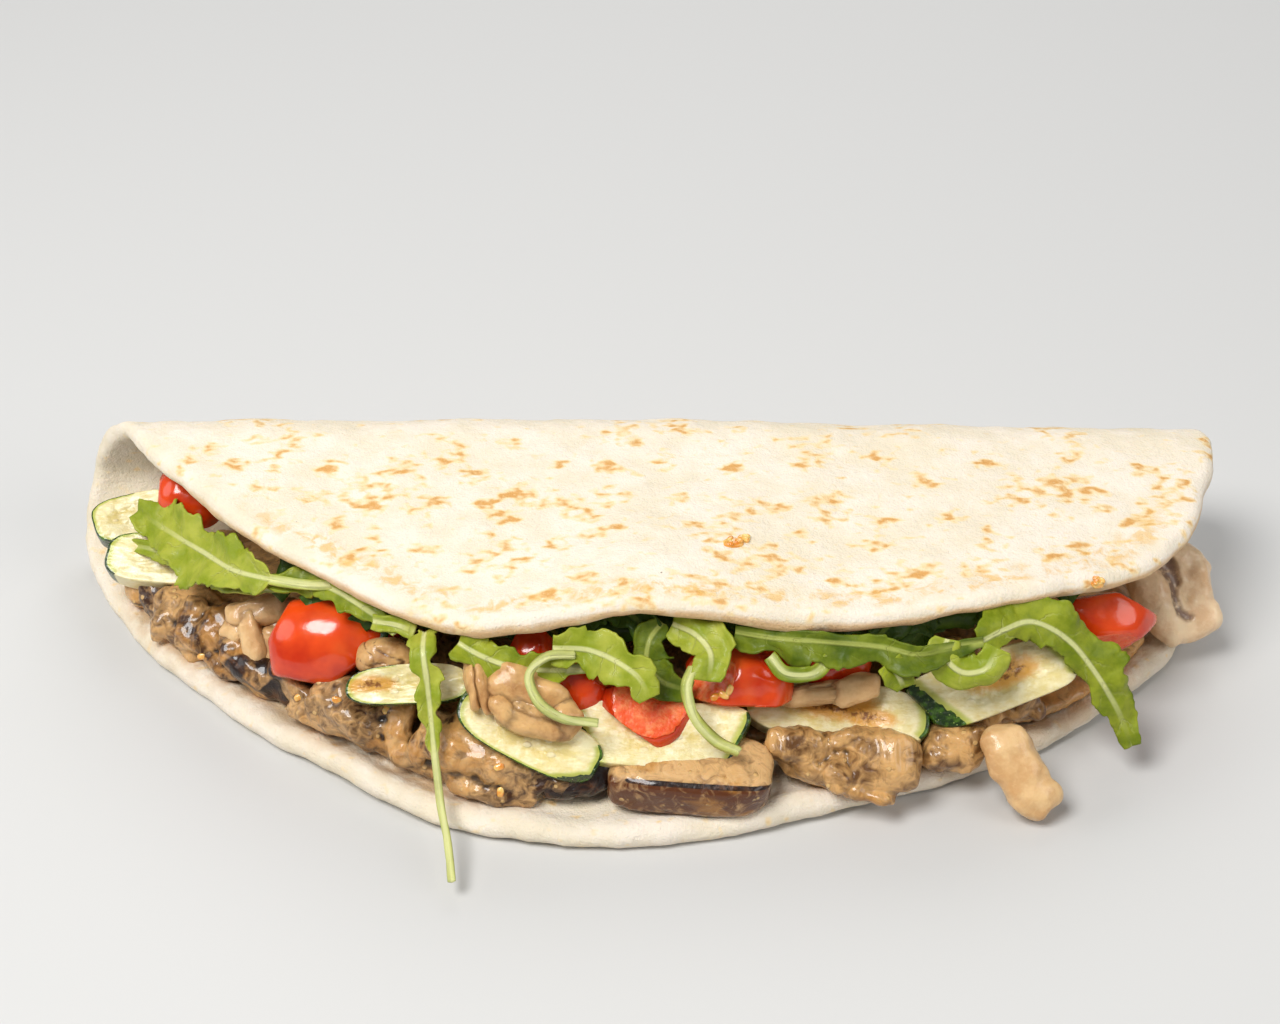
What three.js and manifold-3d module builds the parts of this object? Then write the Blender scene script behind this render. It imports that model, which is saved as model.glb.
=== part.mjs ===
// A piadina: one round flatbread folded over a filling of stewed aubergine, zucchini slices,
// mushrooms, tomato wedges and rocket leaves. Millimetres, +Z up, the open side faces -Y.
import * as THREE from "three";
import { mergeVertices } from "three/addons/utils/BufferGeometryUtils.js";
import Module from "manifold-3d";

const wasm = await Module();
wasm.setup();

// Driving dimensions
const BREAD_THICKNESS = 4.8;
const FOLD_HEIGHT = 44;
const RIGHT_DROP = 2.4;
const FOLD_Y = 34;
const BREAD_CELLS = 20;
const RIM_RING = 0.975;
const CLEARANCE = 0.3;
const LEAF_THICKNESS = 0.9;

// Leaves and slices mostly face the one who looks down at the open side
const TOWARD_VIEWER = [0, -0.81, 0.59];

// The flat bread's outline, a point every 18 degrees round its middle: x, and s across the fold
const BREAD_MIDDLE = [0, 23];
const BREAD_OUTLINE = [
  [131, 23], [129, 65], [110, 101], [74, 118], [36, 126.5], [0, 126], [-36, 128.5],
  [-67, 108.5], [-95, 90], [-118, 60], [-133, 22], [-125, -7.5], [-99, -40],
  [-70, -64.5], [-38, -84.5], [-1, -88.5], [33.5, -81.5], [66.5, -69.5], [100.5, -49.5], [126, -18.5],
];

const smooth = THREE.MathUtils.smoothstep;
const foldHeight = (x) => FOLD_HEIGHT - RIGHT_DROP * smooth(x, 0, 130);
const foldRadius = (x) => (foldHeight(x) - BREAD_THICKNESS) / 2;
const radians = THREE.MathUtils.degToRad;
const bell = (x, middle, width) => Math.exp(-(((x - middle) / width) ** 2));

// Slow uneven waves, the same for the same place, between about -1 and 1
function unevenness(x, y, z) {
  const first = Math.sin(0.9 * x + 1.7 * y + 0.4) * Math.cos(1.3 * y - 0.8 * z);
  const second = Math.sin(2.1 * z + 1.1 * x + 2.2) * Math.cos(1.9 * x - 0.7 * y + 1);
  return 0.55 * first + 0.45 * second;
}

// Closed geometry from a grid of points: both faces cut into triangles alike, joined round the edge
function sheet(columns, rows, pointAt, edgeAt) {
  const positions = [];
  const indices = [];
  const count = (columns + 1) * (rows + 1);
  const at = (i, j) => i * (rows + 1) + j;
  for (const side of [1, -1]) {
    for (let i = 0; i <= columns; i += 1) {
      for (let j = 0; j <= rows; j += 1) {
        positions.push(...pointAt(i / columns, j / rows, side));
      }
    }
  }
  for (let i = 0; i < columns; i += 1) {
    for (let j = 0; j < rows; j += 1) {
      const [a, b, c, d] = [at(i, j), at(i + 1, j), at(i + 1, j + 1), at(i, j + 1)];
      indices.push(a, b, c, a, c, d);
      indices.push(a + count, c + count, b + count, a + count, d + count, c + count);
    }
  }
  const edge = [];
  for (let i = 0; i < columns; i += 1) edge.push([i, 0]);
  for (let j = 0; j < rows; j += 1) edge.push([columns, j]);
  for (let i = columns; i > 0; i -= 1) edge.push([i, rows]);
  for (let j = rows; j > 0; j -= 1) edge.push([0, j]);
  edge.forEach(([i, j], k) => {
    const [nextI, nextJ] = edge[(k + 1) % edge.length];
    const [top, nextTop] = [at(i, j), at(nextI, nextJ)];
    const [low, nextLow] = [top + count, nextTop + count];
    if (!edgeAt) {
      indices.push(top, low, nextLow, top, nextLow, nextTop);
      return;
    }
    positions.push(...edgeAt(i / columns, j / rows));
    const middle = 2 * count + k;
    const nextMiddle = 2 * count + ((k + 1) % edge.length);
    indices.push(top, middle, nextMiddle, top, nextMiddle, nextTop);
    indices.push(middle, low, nextLow, middle, nextLow, nextMiddle);
  });
  const geometry = new THREE.BufferGeometry();
  geometry.setAttribute("position", new THREE.Float32BufferAttribute(positions, 3));
  geometry.setIndex(indices);
  return geometry;
}

// A square's place (0 to 1 each way) on a disc: how far out it is, and its angle
function onDisc(u, v) {
  const [x, y] = [2 * u - 1, 2 * v - 1];
  if (x === 0 && y === 0) return [0, 0];
  const across = Math.abs(x) >= Math.abs(y);
  const reach = across ? x : y;
  const angle = across ? (Math.PI / 4) * (y / x) : Math.PI / 2 - (Math.PI / 4) * (x / y);
  return reach >= 0 ? [reach, angle] : [-reach, angle + Math.PI];
}

// Flatbread

const outline = new THREE.CatmullRomCurve3(
  BREAD_OUTLINE.map(([x, s]) => new THREE.Vector3(x, s, 0)), true, "catmullrom", 0.5,
);

function flatPlace(reach, angle) {
  const turn = THREE.MathUtils.euclideanModulo(angle / (2 * Math.PI), 1);
  const edge = outline.getPoint(turn);
  const [x0, s0] = BREAD_MIDDLE;
  return [x0 + reach * (edge.x - x0), s0 + reach * (edge.y - s0)];
}

// How far the top flap lifts or sags, d along it from the fold
function flapRise(x, d) {
  const out = smooth(d, 12, 66);
  const sag = -1.2 * bell(x, -76, 20) - 1.2 * bell(x, 112, 18);
  const lift = 2.4 * bell(x, 6, 26) + 1 * bell(x, 84, 22);
  const ripple = 0.7 * Math.sin(x / 13 + d / 30);
  return out * (sag + lift + ripple);
}

// How far the bottom flap's rim lifts off the surface that it lies on
function rimLift(x, s, reach) {
  const wave = 1.4 * bell(x, 104, 16) + 1.1 * bell(x, -58, 22) + 0.8 * bell(x, 40, 16);
  return smooth(reach, 0.93, 1) * smooth(-s, 5, 30) * wave;
}

// The folded place of a flat point, h over the middle of the bread toward the filling
function folded(x, s, h, reach) {
  const half = BREAD_THICKNESS / 2;
  if (s < 0) return [x, FOLD_Y + s, half + h + rimLift(x, s, reach)];
  const bend = s / foldRadius(x);
  const radius = foldRadius(x) - h;
  if (bend < Math.PI) {
    return [x, FOLD_Y + radius * Math.sin(bend), foldHeight(x) / 2 - radius * Math.cos(bend)];
  }
  const d = s - Math.PI * foldRadius(x);
  return [x, FOLD_Y - d, foldHeight(x) - half - h + flapRise(x, d)];
}

function flatbread() {
  const lastRing = 1 - 2 / BREAD_CELLS;
  const place = (u, v) => {
    const [ring, angle] = onDisc(u, v);
    const onRim = ring > lastRing + 1e-6;
    const reach = onRim ? 0.992 : (ring / lastRing) * RIM_RING;
    return { onRim, reach, flat: flatPlace(reach, angle), rim: flatPlace(1, angle) };
  };
  const pointAt = (u, v, side) => {
    const { onRim, reach, flat: [x, s] } = place(u, v);
    const dimple = side > 0 ? 0.25 * unevenness(x / 9, s / 9, 0) : 0;
    const h = side * (BREAD_THICKNESS / 2) * (onRim ? 0.62 : 1) + (onRim ? 0 : dimple);
    return folded(x, s, h, reach);
  };
  const edgeAt = (u, v) => {
    const { rim: [x, s] } = place(u, v);
    return folded(x, s, 0, 1);
  };
  return sheet(BREAD_CELLS, BREAD_CELLS, pointAt, edgeAt);
}

// Blocks, slices and wedges, each about its own origin with its broad face toward +Z

// Rounded, slightly uneven block: square 0 is an egg and 1 is nearly a box
function lump({ size, square = 0.3, uneven = 0.08, seed = 1, around = 10, up = 7 }) {
  const geometry = new THREE.SphereGeometry(1, around, up);
  const points = geometry.attributes.position;
  const [a, b, c] = size.map((length) => length / 2);
  const power = 1 - 0.6 * square;
  const blunt = (value) => Math.sign(value) * Math.abs(value) ** power;
  const p = new THREE.Vector3();
  for (let i = 0; i < points.count; i += 1) {
    p.fromBufferAttribute(points, i);
    const grow = 1 + uneven * unevenness(2 * p.x + seed, 2 * p.y - seed, 2 * p.z + 3 * seed);
    points.setXYZ(i, a * grow * blunt(p.x), -b * grow * blunt(p.z), c * grow * blunt(p.y));
  }
  return geometry;
}

// Flat slice with softened edges: blunt ends as blunt grows from 2, skewed ends by lean
function slice({ size, blunt = 3, lean = 0, seed = 1, around = 14 }) {
  const [length, width, thickness] = size;
  const half = thickness / 2;
  const profile = [[0, -half], [0.93, -half], [1, -0.6 * half], [1, 0.6 * half], [0.93, half], [0, half]];
  const geometry = new THREE.LatheGeometry(profile.map(([r, z]) => new THREE.Vector2(r, z)), around);
  const points = geometry.attributes.position;
  for (let i = 0; i < points.count; i += 1) {
    const [x, z, y] = [points.getX(i), points.getY(i), -points.getZ(i)];
    const round = Math.hypot(x, y);
    const angle = Math.atan2(y, x);
    const reach = (Math.abs(Math.cos(angle)) ** blunt + Math.abs(Math.sin(angle)) ** blunt) ** (-1 / blunt);
    const grow = round * reach * (1 + 0.03 * Math.sin(3 * angle + seed));
    const along = (length / 2) * grow * Math.cos(angle);
    const across = (width / 2) * grow * Math.sin(angle);
    const bow = 0.5 * round * Math.sin(2 * angle + seed);
    points.setXYZ(i, along + lean * across, across, z + bow);
  }
  return geometry;
}

// Wedge of a tomato: its skin bulges toward +Z and its two cut faces meet at a blunt core
function wedge({ length, depth, angle = 100, core = 0.16, around = 5, up = 6 }) {
  const geometry = new THREE.BoxGeometry(2, 2, 1, up, around, 1);
  const points = geometry.attributes.position;
  for (let i = 0; i < points.count; i += 1) {
    const along = 0.94 * points.getX(i);
    const turn = (points.getY(i) * radians(angle)) / 2;
    const out = core + (1 - core) * (points.getZ(i) + 0.5);
    const round = depth * out * (1 - Math.abs(along) ** 2.4) ** 0.5;
    points.setXYZ(i, (length / 2) * along, round * Math.sin(turn), round * Math.cos(turn) - 0.6 * depth);
  }
  return geometry;
}

// A piece turned in its own plane, tilted toward the viewer, then swung about the vertical
function placed(geometry, { at, turn = 0, tilt = 54, swing = 0, roll = 0 }) {
  const matrix = new THREE.Matrix4()
    .makeTranslation(...at)
    .multiply(new THREE.Matrix4().makeRotationZ(radians(swing)))
    .multiply(new THREE.Matrix4().makeRotationX(radians(tilt)))
    .multiply(new THREE.Matrix4().makeRotationZ(radians(turn)))
    .multiply(new THREE.Matrix4().makeRotationX(radians(roll)));
  return geometry.applyMatrix4(matrix);
}

// Rocket leaves

// Half of a lobed leaf's width at t along it, side -1 or 1
function leafReach(t, side, { width, stem = 1.1, blade = [0.15, 1], lobes = 3, depth = 0.45 }) {
  const place = (t - blade[0]) / (blade[1] - blade[0]);
  if (place <= 0 || place >= 1) return stem;
  const body = Math.sin(Math.PI * place ** 0.85) ** 0.65;
  const notch = 0.5 - 0.5 * Math.cos(2 * Math.PI * (lobes * place + 0.18 * side));
  return stem + (width / 2 - stem) * body * (1 - depth * notch);
}

// Thin wavy leaf along a spine, its upper face toward facing, its edges curled by curl
function leaf(shape) {
  const { spine, facing = TOWARD_VIEWER, curl = 0.15, wave = 0.8, steps = 16, across = 4 } = shape;
  const curve = new THREE.CatmullRomCurve3(spine.map((p) => new THREE.Vector3(...p)), false, "centripetal");
  const front = new THREE.Vector3(...facing).normalize();
  const pointAt = (t, v, side) => {
    const along = curve.getTangentAt(t);
    const sideways = new THREE.Vector3().crossVectors(front, along).normalize();
    const up = new THREE.Vector3().crossVectors(along, sideways);
    const off = 2 * v - 1;
    const reach = leafReach(t, Math.sign(off), shape);
    const lift = curl * reach * off * off + wave * off * Math.sin(9 * t + 2 * off);
    const flesh = (side * LEAF_THICKNESS * (1.3 - 0.6 * Math.abs(off))) / 2;
    return curve.getPointAt(t).addScaledVector(sideways, off * reach).addScaledVector(up, lift + flesh);
  };
  return sheet(steps, across, pointAt);
}

// Layers that run through the fold

// Top of the stewed aubergine, x and y in the part's frame
function bedTop(x, y) {
  const open = 1 - smooth(x, -36, -22);
  const inside = smooth(x, -82, -62) * (1 - smooth(x, 88, 104)) * smooth(y, -14, 4);
  return 10.5 + 9.5 * inside + open * (3 + 2 * unevenness(x / 7, y / 7, 1)) + 1.5 * bell(x, -86, 14);
}

// Outline of a layer, as a closed curve through a few points on the plan
const planCurve = (points) => new THREE.CatmullRomCurve3(
  points.map(([x, y]) => new THREE.Vector3(x, y, 0)), true, "catmullrom", 0.5,
);

// A layer over a plan outline between two heights, thinner toward its edge. It runs back into the
// fold: topBack and floorBack are how much farther back its top and its floor reach than the plan.
function layer(points, { cells, floorAt, topAt, topBack = 0, floorBack = 0 }) {
  const plan = planCurve(points);
  const middle = [points.reduce((sum, p) => sum + p[0], 0), points.reduce((sum, p) => sum + p[1], 0)]
    .map((sum) => sum / points.length);
  const pointAt = (u, v, side) => {
    const [reach, angle] = onDisc(u, v);
    const edge = plan.getPoint(THREE.MathUtils.euclideanModulo(angle / (2 * Math.PI), 1));
    const x = middle[0] + reach * (edge.x - middle[0]);
    const y = middle[1] + reach * (edge.y - middle[1]);
    const [low, high] = [floorAt(x, y), topAt(x, y)];
    const round = 0.55 + 0.45 * Math.sqrt(1 - Math.min(1, reach) ** 6);
    const back = (side > 0 ? topBack : floorBack) * smooth(y, 18, 36);
    return [x, y + back, side > 0 ? low + (high - low) * round : low];
  };
  return sheet(cells, cells, pointAt);
}

const AUBERGINE_PLAN = [
  [117, 14], [108, 33], [60, 36], [0, 36], [-60, 36], [-108, 34], [-116, 23], [-104, 5],
  [-83, -11.5], [-61, -29], [-34, -43.5], [-16, -33], [20, -28], [56, -26], [84, -22], [104, -8],
];
const ROCKET_PLAN = [
  [96, 8], [92, 32], [40, 38], [-30, 38], [-72, 34], [-78, 12], [-60, -9], [-30, -22], [18, -23], [68, -18],
];

const flapUnderside = (x, y) => foldHeight(x) - BREAD_THICKNESS + flapRise(x, Math.max(0, FOLD_Y - y));

function aubergineBed() {
  const floorAt = () => BREAD_THICKNESS + 1.2;
  return layer(AUBERGINE_PLAN, { cells: 10, floorAt, topAt: bedTop, topBack: 9 });
}

function rocketBed() {
  const floorAt = (x, y) => 29.5 - 6 * smooth(y, -12, 4) + 1.5 * unevenness(x / 9, y / 9, 4);
  const topAt = (x, y) => flapUnderside(x, y) - 1 - 1.2 * Math.abs(unevenness(x / 6, y / 6, 2));
  return layer(ROCKET_PLAN, { cells: 8, floorAt, topAt, floorBack: 8 });
}

const AUBERGINE_LUMPS = [
  { at: [-101, 10, 10], size: [22, 15, 10], turn: -40, tilt: 30, seed: 2 },
  { at: [-84.5, -7.5, 10.5], size: [20, 10, 9], turn: -35, tilt: 30, seed: 5 },
  { at: [-60, -24.5, 12], size: [24, 13, 12], turn: -25, tilt: 30, seed: 7 },
  { at: [-33, -38.5, 12.5], size: [26, 12.5, 13], turn: -12, tilt: 30, seed: 9 },
];

// Pieces that lie in the mouth of the fold

const LEAVES = {
  rocket_left: {
    spine: [[-62, -12, 37], [-70, -13, 37.2], [-79, -10, 36.5], [-88, -3.5, 35], [-97, 8, 32.5], [-107, 19, 31],
      [-115, 27.5, 30]],
    width: 13, blade: [0.3, 1], lobes: 2, wave: 1.2, steps: 15,
  },
  rocket_left_low: {
    spine: [[-73, -9, 33.5], [-86, -4, 30.5], [-98, 7, 26.5], [-111, 19.5, 23], [-122, 27, 19]],
    width: 6, blade: [0.1, 0.9], lobes: 2, across: 2, steps: 14,
  },
  rocket_under_flap: {
    spine: [[-80, -9, 34], [-68, -12, 35.5], [-59, -18.5, 35.5], [-51, -25.5, 34.5]],
    width: 6.5, blade: [0, 0.95], lobes: 3, across: 2, steps: 12,
  },
  rocket_hanging: {
    spine: [[-44.8, -28, 37], [-44.7, -34, 36.5], [-44.3, -36, 34], [-43.5, -39, 27], [-42.7, -44, 20],
      [-41.9, -48, 14], [-41.3, -50.5, 10], [-39.6, -58.5, 7.5], [-38, -68.5, 5]],
    width: 8, blade: [-0.1, 0.5], lobes: 1.5, stem: 0.8, across: 2, steps: 20,
  },
  rocket_crossing: {
    spine: [[-56, -23.5, 36.3], [-51, -25, 36.5], [-47, -27, 36.3]],
    width: 4, blade: [-0.2, 1.2], lobes: 1, across: 2, steps: 6,
  },
  rocket_middle_left: {
    spine: [[-37.5, -31.5, 37], [-33, -34.3, 36], [-26, -35.8, 34], [-18.5, -35.5, 33], [-9, -33.5, 32]],
    width: 9, blade: [-0.1, 0.8], lobes: 2, across: 2, steps: 10,
  },
  rocket_stem_loop: {
    spine: [[-13.4, -35, 36.5], [-19, -36.5, 37.2], [-22.7, -40, 35.5], [-21, -44, 32],
      [-15.5, -46, 29], [-8.6, -45.5, 27]],
    width: 2, blade: [0, 1], lobes: 0, across: 1, steps: 12,
  },
  rocket_middle: {
    spine: [[-18, -33.5, 37.3], [-10.3, -34, 37], [-4, -36, 35], [0, -38.5, 33], [2, -41, 30]],
    width: 11, blade: [-0.1, 1.05], lobes: 2, steps: 12,
  },
  rocket_middle_dark: {
    spine: [[4.6, -26, 38], [2, -29.5, 36], [1.5, -32.5, 32], [4.6, -34.5, 29], [10.8, -35.5, 27.5]],
    width: 9, blade: [0, 1.05], lobes: 1.5, across: 2, steps: 10,
  },
  rocket_drop: {
    spine: [[6.7, -27, 38.5], [11.4, -30, 38], [14.5, -34.5, 36.5], [14, -38.5, 32.5]],
    width: 10, blade: [-0.1, 1.1], lobes: 1, across: 2, steps: 8,
  },
  rocket_stem_down: {
    spine: [[11, -36.5, 34.5], [9.7, -40, 32.5], [10.8, -43.5, 28], [15, -45.5, 23], [20.5, -46, 20]],
    width: 2.4, blade: [0, 1], lobes: 0, across: 1, steps: 12,
  },
  rocket_long: {
    spine: [[19.7, -29.5, 38.3], [29, -31.5, 38], [39, -32.5, 38], [49.5, -33.5, 37.5], [57, -35, 36.5],
      [62, -34, 36.5], [67, -32.5, 36.5]],
    width: 9, blade: [-0.1, 1.05], lobes: 3, steps: 15,
  },
  rocket_ring: {
    spine: [[26.8, -34, 35.5], [30, -37, 33.5], [36, -37, 33.5], [39, -35, 35.8]],
    width: 3.4, blade: [-0.1, 1.1], lobes: 1, across: 2, steps: 8,
  },
  rocket_lobe: {
    spine: [[51, -35.5, 34.5], [53, -37, 32.5], [54.5, -38, 29.8]],
    width: 7.5, blade: [-0.2, 1.1], lobes: 0.6, across: 2, steps: 6,
  },
  rocket_right: {
    spine: [[70, -31.5, 37], [78, -27, 37.8], [85, -24, 37.5], [92, -26, 33], [98, -28, 24], [102, -30, 16],
      [105, -32, 9]],
    width: 13, blade: [-0.1, 1.05], lobes: 2, curl: -0.2, steps: 15,
  },
  rocket_curl: {
    spine: [[63.5, -31.5, 36], [62.8, -34, 34], [66.5, -36, 31.5], [71.5, -35.5, 32.5], [73.5, -33, 35.5]],
    width: 8, blade: [-0.1, 1.1], lobes: 1, curl: -0.2, across: 2, steps: 12,
  },
};

const TOMATOES = {
  tomato_left_end: { at: [-103, 27, 32], length: 17, depth: 8, angle: 100, turn: -30 },
  tomato_dome: { at: [-66.5, -15.5, 24.2], length: 30, depth: 13, angle: 112, turn: 10 },
  tomato_deep: { at: [-22.5, -28, 31.5], length: 10, depth: 7, angle: 90, turn: 10 },
  tomato_middle_left: { at: [-14, -31, 26], length: 18, depth: 9, angle: 90, turn: -25 },
  tomato_middle: { at: [1.7, -36, 23], length: 21, depth: 10, angle: 75, turn: -12 },
  tomato_seeded: { at: [21, -31, 28], length: 24, depth: 10, angle: 85, turn: -8, roll: -35 },
  tomato_shaded: { at: [41.2, -24, 26.5], length: 17, depth: 8, angle: 90, turn: 5 },
  tomato_right: { at: [98, -8, 25.5], length: 27, depth: 10, angle: 95, turn: -15, roll: -10 },
};

const MUSHROOMS = {
  mushroom_left: { at: [-83.5, -2.5, 17], size: [18, 16, 10], turn: -35, square: 0.5, seed: 3 },
  mushroom_button: { at: [-54.2, -22, 25], size: [12, 9, 9], seed: 6 },
  mushroom_folded: { at: [-23.7, -38.5, 26.5], size: [25, 15, 9], turn: -20, square: 0.6, seed: 8 },
  mushroom_small: { at: [16, -29.5, 21], size: [10, 7, 6], seed: 11 },
  mushroom_strip: { at: [39.7, -29.5, 21.5], size: [22, 7, 5.5], turn: 8, square: 0.6, seed: 12 },
  mushroom_back: { at: [64, -18.5, 24], size: [14, 6, 6], turn: 10, seed: 14 },
  mushroom_right_strip: { at: [81, -13, 21], size: [20, 8, 5.5], turn: 20, square: 0.6, seed: 15 },
  mushroom_stem: { at: [80, -41, 10.5], size: [21, 10.5, 8.5], turn: -56, tilt: 35, square: 0.5, seed: 17 },
};

const MUSHROOM_SLICE = [
  { at: [117, 9.7, 15.7], size: [22, 11, 7], turn: -62, square: 0.5, seed: 19 },
  { at: [123, 14.2, 20], size: [16, 11.5, 6.5], turn: -50, square: 0.5, seed: 20 },
  { at: [125.5, 7.7, 11.2], size: [11, 8.5, 6.5], turn: 25, square: 0.5, around: 8, up: 5 },
];

const ZUCCHINI = {
  zucchini_left_end: { at: [-118, 35.5, 19.5], size: [19, 12, 6], turn: 15, tilt: 30 },
  zucchini_left: { at: [-106.5, 21.5, 17.3], size: [32, 13.5, 6.5], turn: -5, tilt: 32, seed: 2 },
  zucchini_tip: { at: [-91, 1, 11], size: [9, 10, 5], turn: 40, tilt: 60, seed: 3 },
  zucchini_under_dome: { at: [-48.6, -29.5, 25.5], size: [26, 12, 5.5], turn: 3, tilt: 45, seed: 4 },
  zucchini_middle_left: { at: [-22.8, -40, 19], size: [32, 12, 6], turn: -25, tilt: 50, seed: 5 },
  zucchini_middle: { at: [3.5, -38.5, 17.5], size: [36, 14, 5.5], turn: -3, tilt: 36, lean: 0.3, seed: 6 },
  zucchini_right: { at: [74.6, -25.5, 20.5], size: [32.5, 13, 5.5], turn: 20, tilt: 45, lean: -0.4, seed: 8 },
  zucchini_charred: { at: [40.8, -28.5, 15.5], size: [41, 14, 5], turn: -7, tilt: 32, lean: -0.3, seed: 7 },
};

const AUBERGINES = {
  aubergine_slice: {
    at: [10.5, -42.8, 11], size: [34, 17, 11], turn: -5, tilt: 8, square: 0.85, seed: 21, uneven: 0.04,
  },
  aubergine_folded: {
    at: [43.9, -39.5, 11.5], size: [32, 16, 12], turn: -3, square: 0.5, seed: 23, uneven: 0.12,
  },
  aubergine_chunk: { at: [66.7, -34, 10.3], size: [14, 11, 10], turn: 5, square: 0.5, seed: 25 },
  aubergine_curl: { at: [80, -23, 14.5], size: [13, 11, 8], turn: 25, square: 0.4, seed: 27 },
  aubergine_peel: { at: [-13, -42.5, 10], size: [17, 8, 7], turn: 12, square: 0.5, seed: 29 },
};

// Clusters of tomato seeds stuck to the top flap: x, distance from the fold, and size
const SEED_CLUSTERS = [
  { x: 19.8, d: 42, size: [4.6, 3.2, 2.2] },
  { x: 22.2, d: 40.4, size: [2.8, 2.4, 2] },
  { x: 96.5, d: 54, size: [3, 2.6, 1.8] },
];

// Solids: joining, cutting, and back to meshes

function positionsOnly(geometry) {
  const plain = geometry.clone();
  plain.deleteAttribute("normal");
  plain.deleteAttribute("uv");
  const merged = mergeVertices(plain, 1e-4);
  const index = merged.index.array;
  const kept = [];
  for (let k = 0; k < index.length; k += 3) {
    const [a, b, c] = [index[k], index[k + 1], index[k + 2]];
    if (a !== b && b !== c && c !== a) kept.push(a, b, c);
  }
  merged.setIndex(kept);
  return merged;
}

function solid(geometry) {
  const merged = positionsOnly(geometry);
  return new wasm.Manifold(new wasm.Mesh({
    numProp: 3,
    vertProperties: new Float32Array(merged.attributes.position.array),
    triVerts: new Uint32Array(merged.index.array),
  }));
}

// The same shape with its whole surface moved out by the clearance
function grown(geometry) {
  const merged = positionsOnly(geometry);
  merged.computeVertexNormals();
  const { position, normal } = merged.attributes;
  for (let i = 0; i < position.count; i += 1) {
    position.setXYZ(
      i,
      position.getX(i) + CLEARANCE * normal.getX(i),
      position.getY(i) + CLEARANCE * normal.getY(i),
      position.getZ(i) + CLEARANCE * normal.getZ(i),
    );
  }
  return solid(merged);
}

const fused = (geometries) => geometries.map(solid).reduce((whole, next) => whole.add(next));

function largest(body) {
  return body.decompose().reduce((best, next) => (next.volume() > best.volume() ? next : best));
}

function meshFrom(name, body, material) {
  const { vertProperties, triVerts } = body.getMesh();
  const geometry = new THREE.BufferGeometry();
  geometry.setAttribute("position", new THREE.BufferAttribute(new Float32Array(vertProperties), 3));
  geometry.setIndex(new THREE.BufferAttribute(new Uint32Array(triVerts), 1));
  geometry.computeBoundingBox();
  const middle = geometry.boundingBox.getCenter(new THREE.Vector3());
  geometry.translate(-middle.x, -middle.y, -middle.z);
  geometry.computeVertexNormals();
  const mesh = new THREE.Mesh(geometry, material);
  mesh.name = name;
  mesh.position.copy(middle);
  return mesh;
}

// Materials, one for each piece

const LOOKS = {
  bread: { color: "#efe3cb", roughness: 0.85 },
  rocket: { color: "#5f8f2a", roughness: 0.5 },
  tomato: { color: "#c8321a", roughness: 0.25 },
  mushroom: { color: "#b89a78", roughness: 0.35 },
  zucchini: { color: "#d9dc9a", roughness: 0.4 },
  aubergine: { color: "#6e5440", roughness: 0.3 },
};

const material = (look) => new THREE.MeshStandardMaterial({ ...LOOKS[look], metalness: 0 });

// Every piece in the order in which it keeps its shape: a later one is cut back round the earlier

function seedCluster({ x, d, size }) {
  const z = foldHeight(x) + flapRise(x, d) - 0.2;
  return placed(lump({ size, around: 7, up: 5, seed: x }), { at: [x, FOLD_Y - d, z], tilt: 0, turn: 15 });
}

function allPieces() {
  const pieces = [];
  const add = (name, look, geometries) => pieces.push({ name, look, geometries });
  const each = (shapes, look, make) => {
    for (const [name, shape] of Object.entries(shapes)) add(name, look, [make(shape)]);
  };
  add("flatbread", "bread", [flatbread(), ...SEED_CLUSTERS.map(seedCluster)]);
  each(LEAVES, "rocket", leaf);
  each(TOMATOES, "tomato", (shape) => placed(wedge(shape), shape));
  each(MUSHROOMS, "mushroom", (shape) => placed(lump(shape), shape));
  add("mushroom_slice", "mushroom", MUSHROOM_SLICE.map((shape) => placed(lump(shape), shape)));
  each(ZUCCHINI, "zucchini", (shape) => placed(slice(shape), shape));
  each(AUBERGINES, "aubergine", (shape) => placed(lump(shape), shape));
  add("rocket_bed", "rocket", [rocketBed()]);
  const lumps = AUBERGINE_LUMPS.map((shape) => placed(lump({ ...shape, around: 9, up: 5 }), shape));
  add("aubergine_bed", "aubergine", [aubergineBed(), ...lumps]);
  return pieces;
}

function near(a, b) {
  return [0, 1, 2].every((k) => a.min[k] < b.max[k] && b.min[k] < a.max[k]);
}

const piadina = new THREE.Group();
const settled = [];
for (const { name, look, geometries } of allPieces()) {
  let body = fused(geometries);
  const reach = body.boundingBox();
  for (const earlier of settled) {
    if (near(reach, earlier.reach)) body = body.subtract(earlier.room);
  }
  piadina.add(meshFrom(name, largest(body), material(look)));
  const room = geometries.map(grown).reduce((whole, next) => whole.add(next));
  settled.push({ room, reach: room.boundingBox() });
}

// The origin is the middle of the footprint, at the height of the surface that it rests on
const extent = new THREE.Box3().setFromObject(piadina);
const middle = extent.getCenter(new THREE.Vector3());
piadina.position.set(-middle.x, -middle.y, -extent.min.z);

export default piadina;
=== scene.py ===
"""A filled piadina: the looks of the folded flatbread and of everything in it."""
import math
import random

import bpy
import numpy as np
from mathutils import Euler, Matrix, Vector, kdtree, noise


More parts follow.
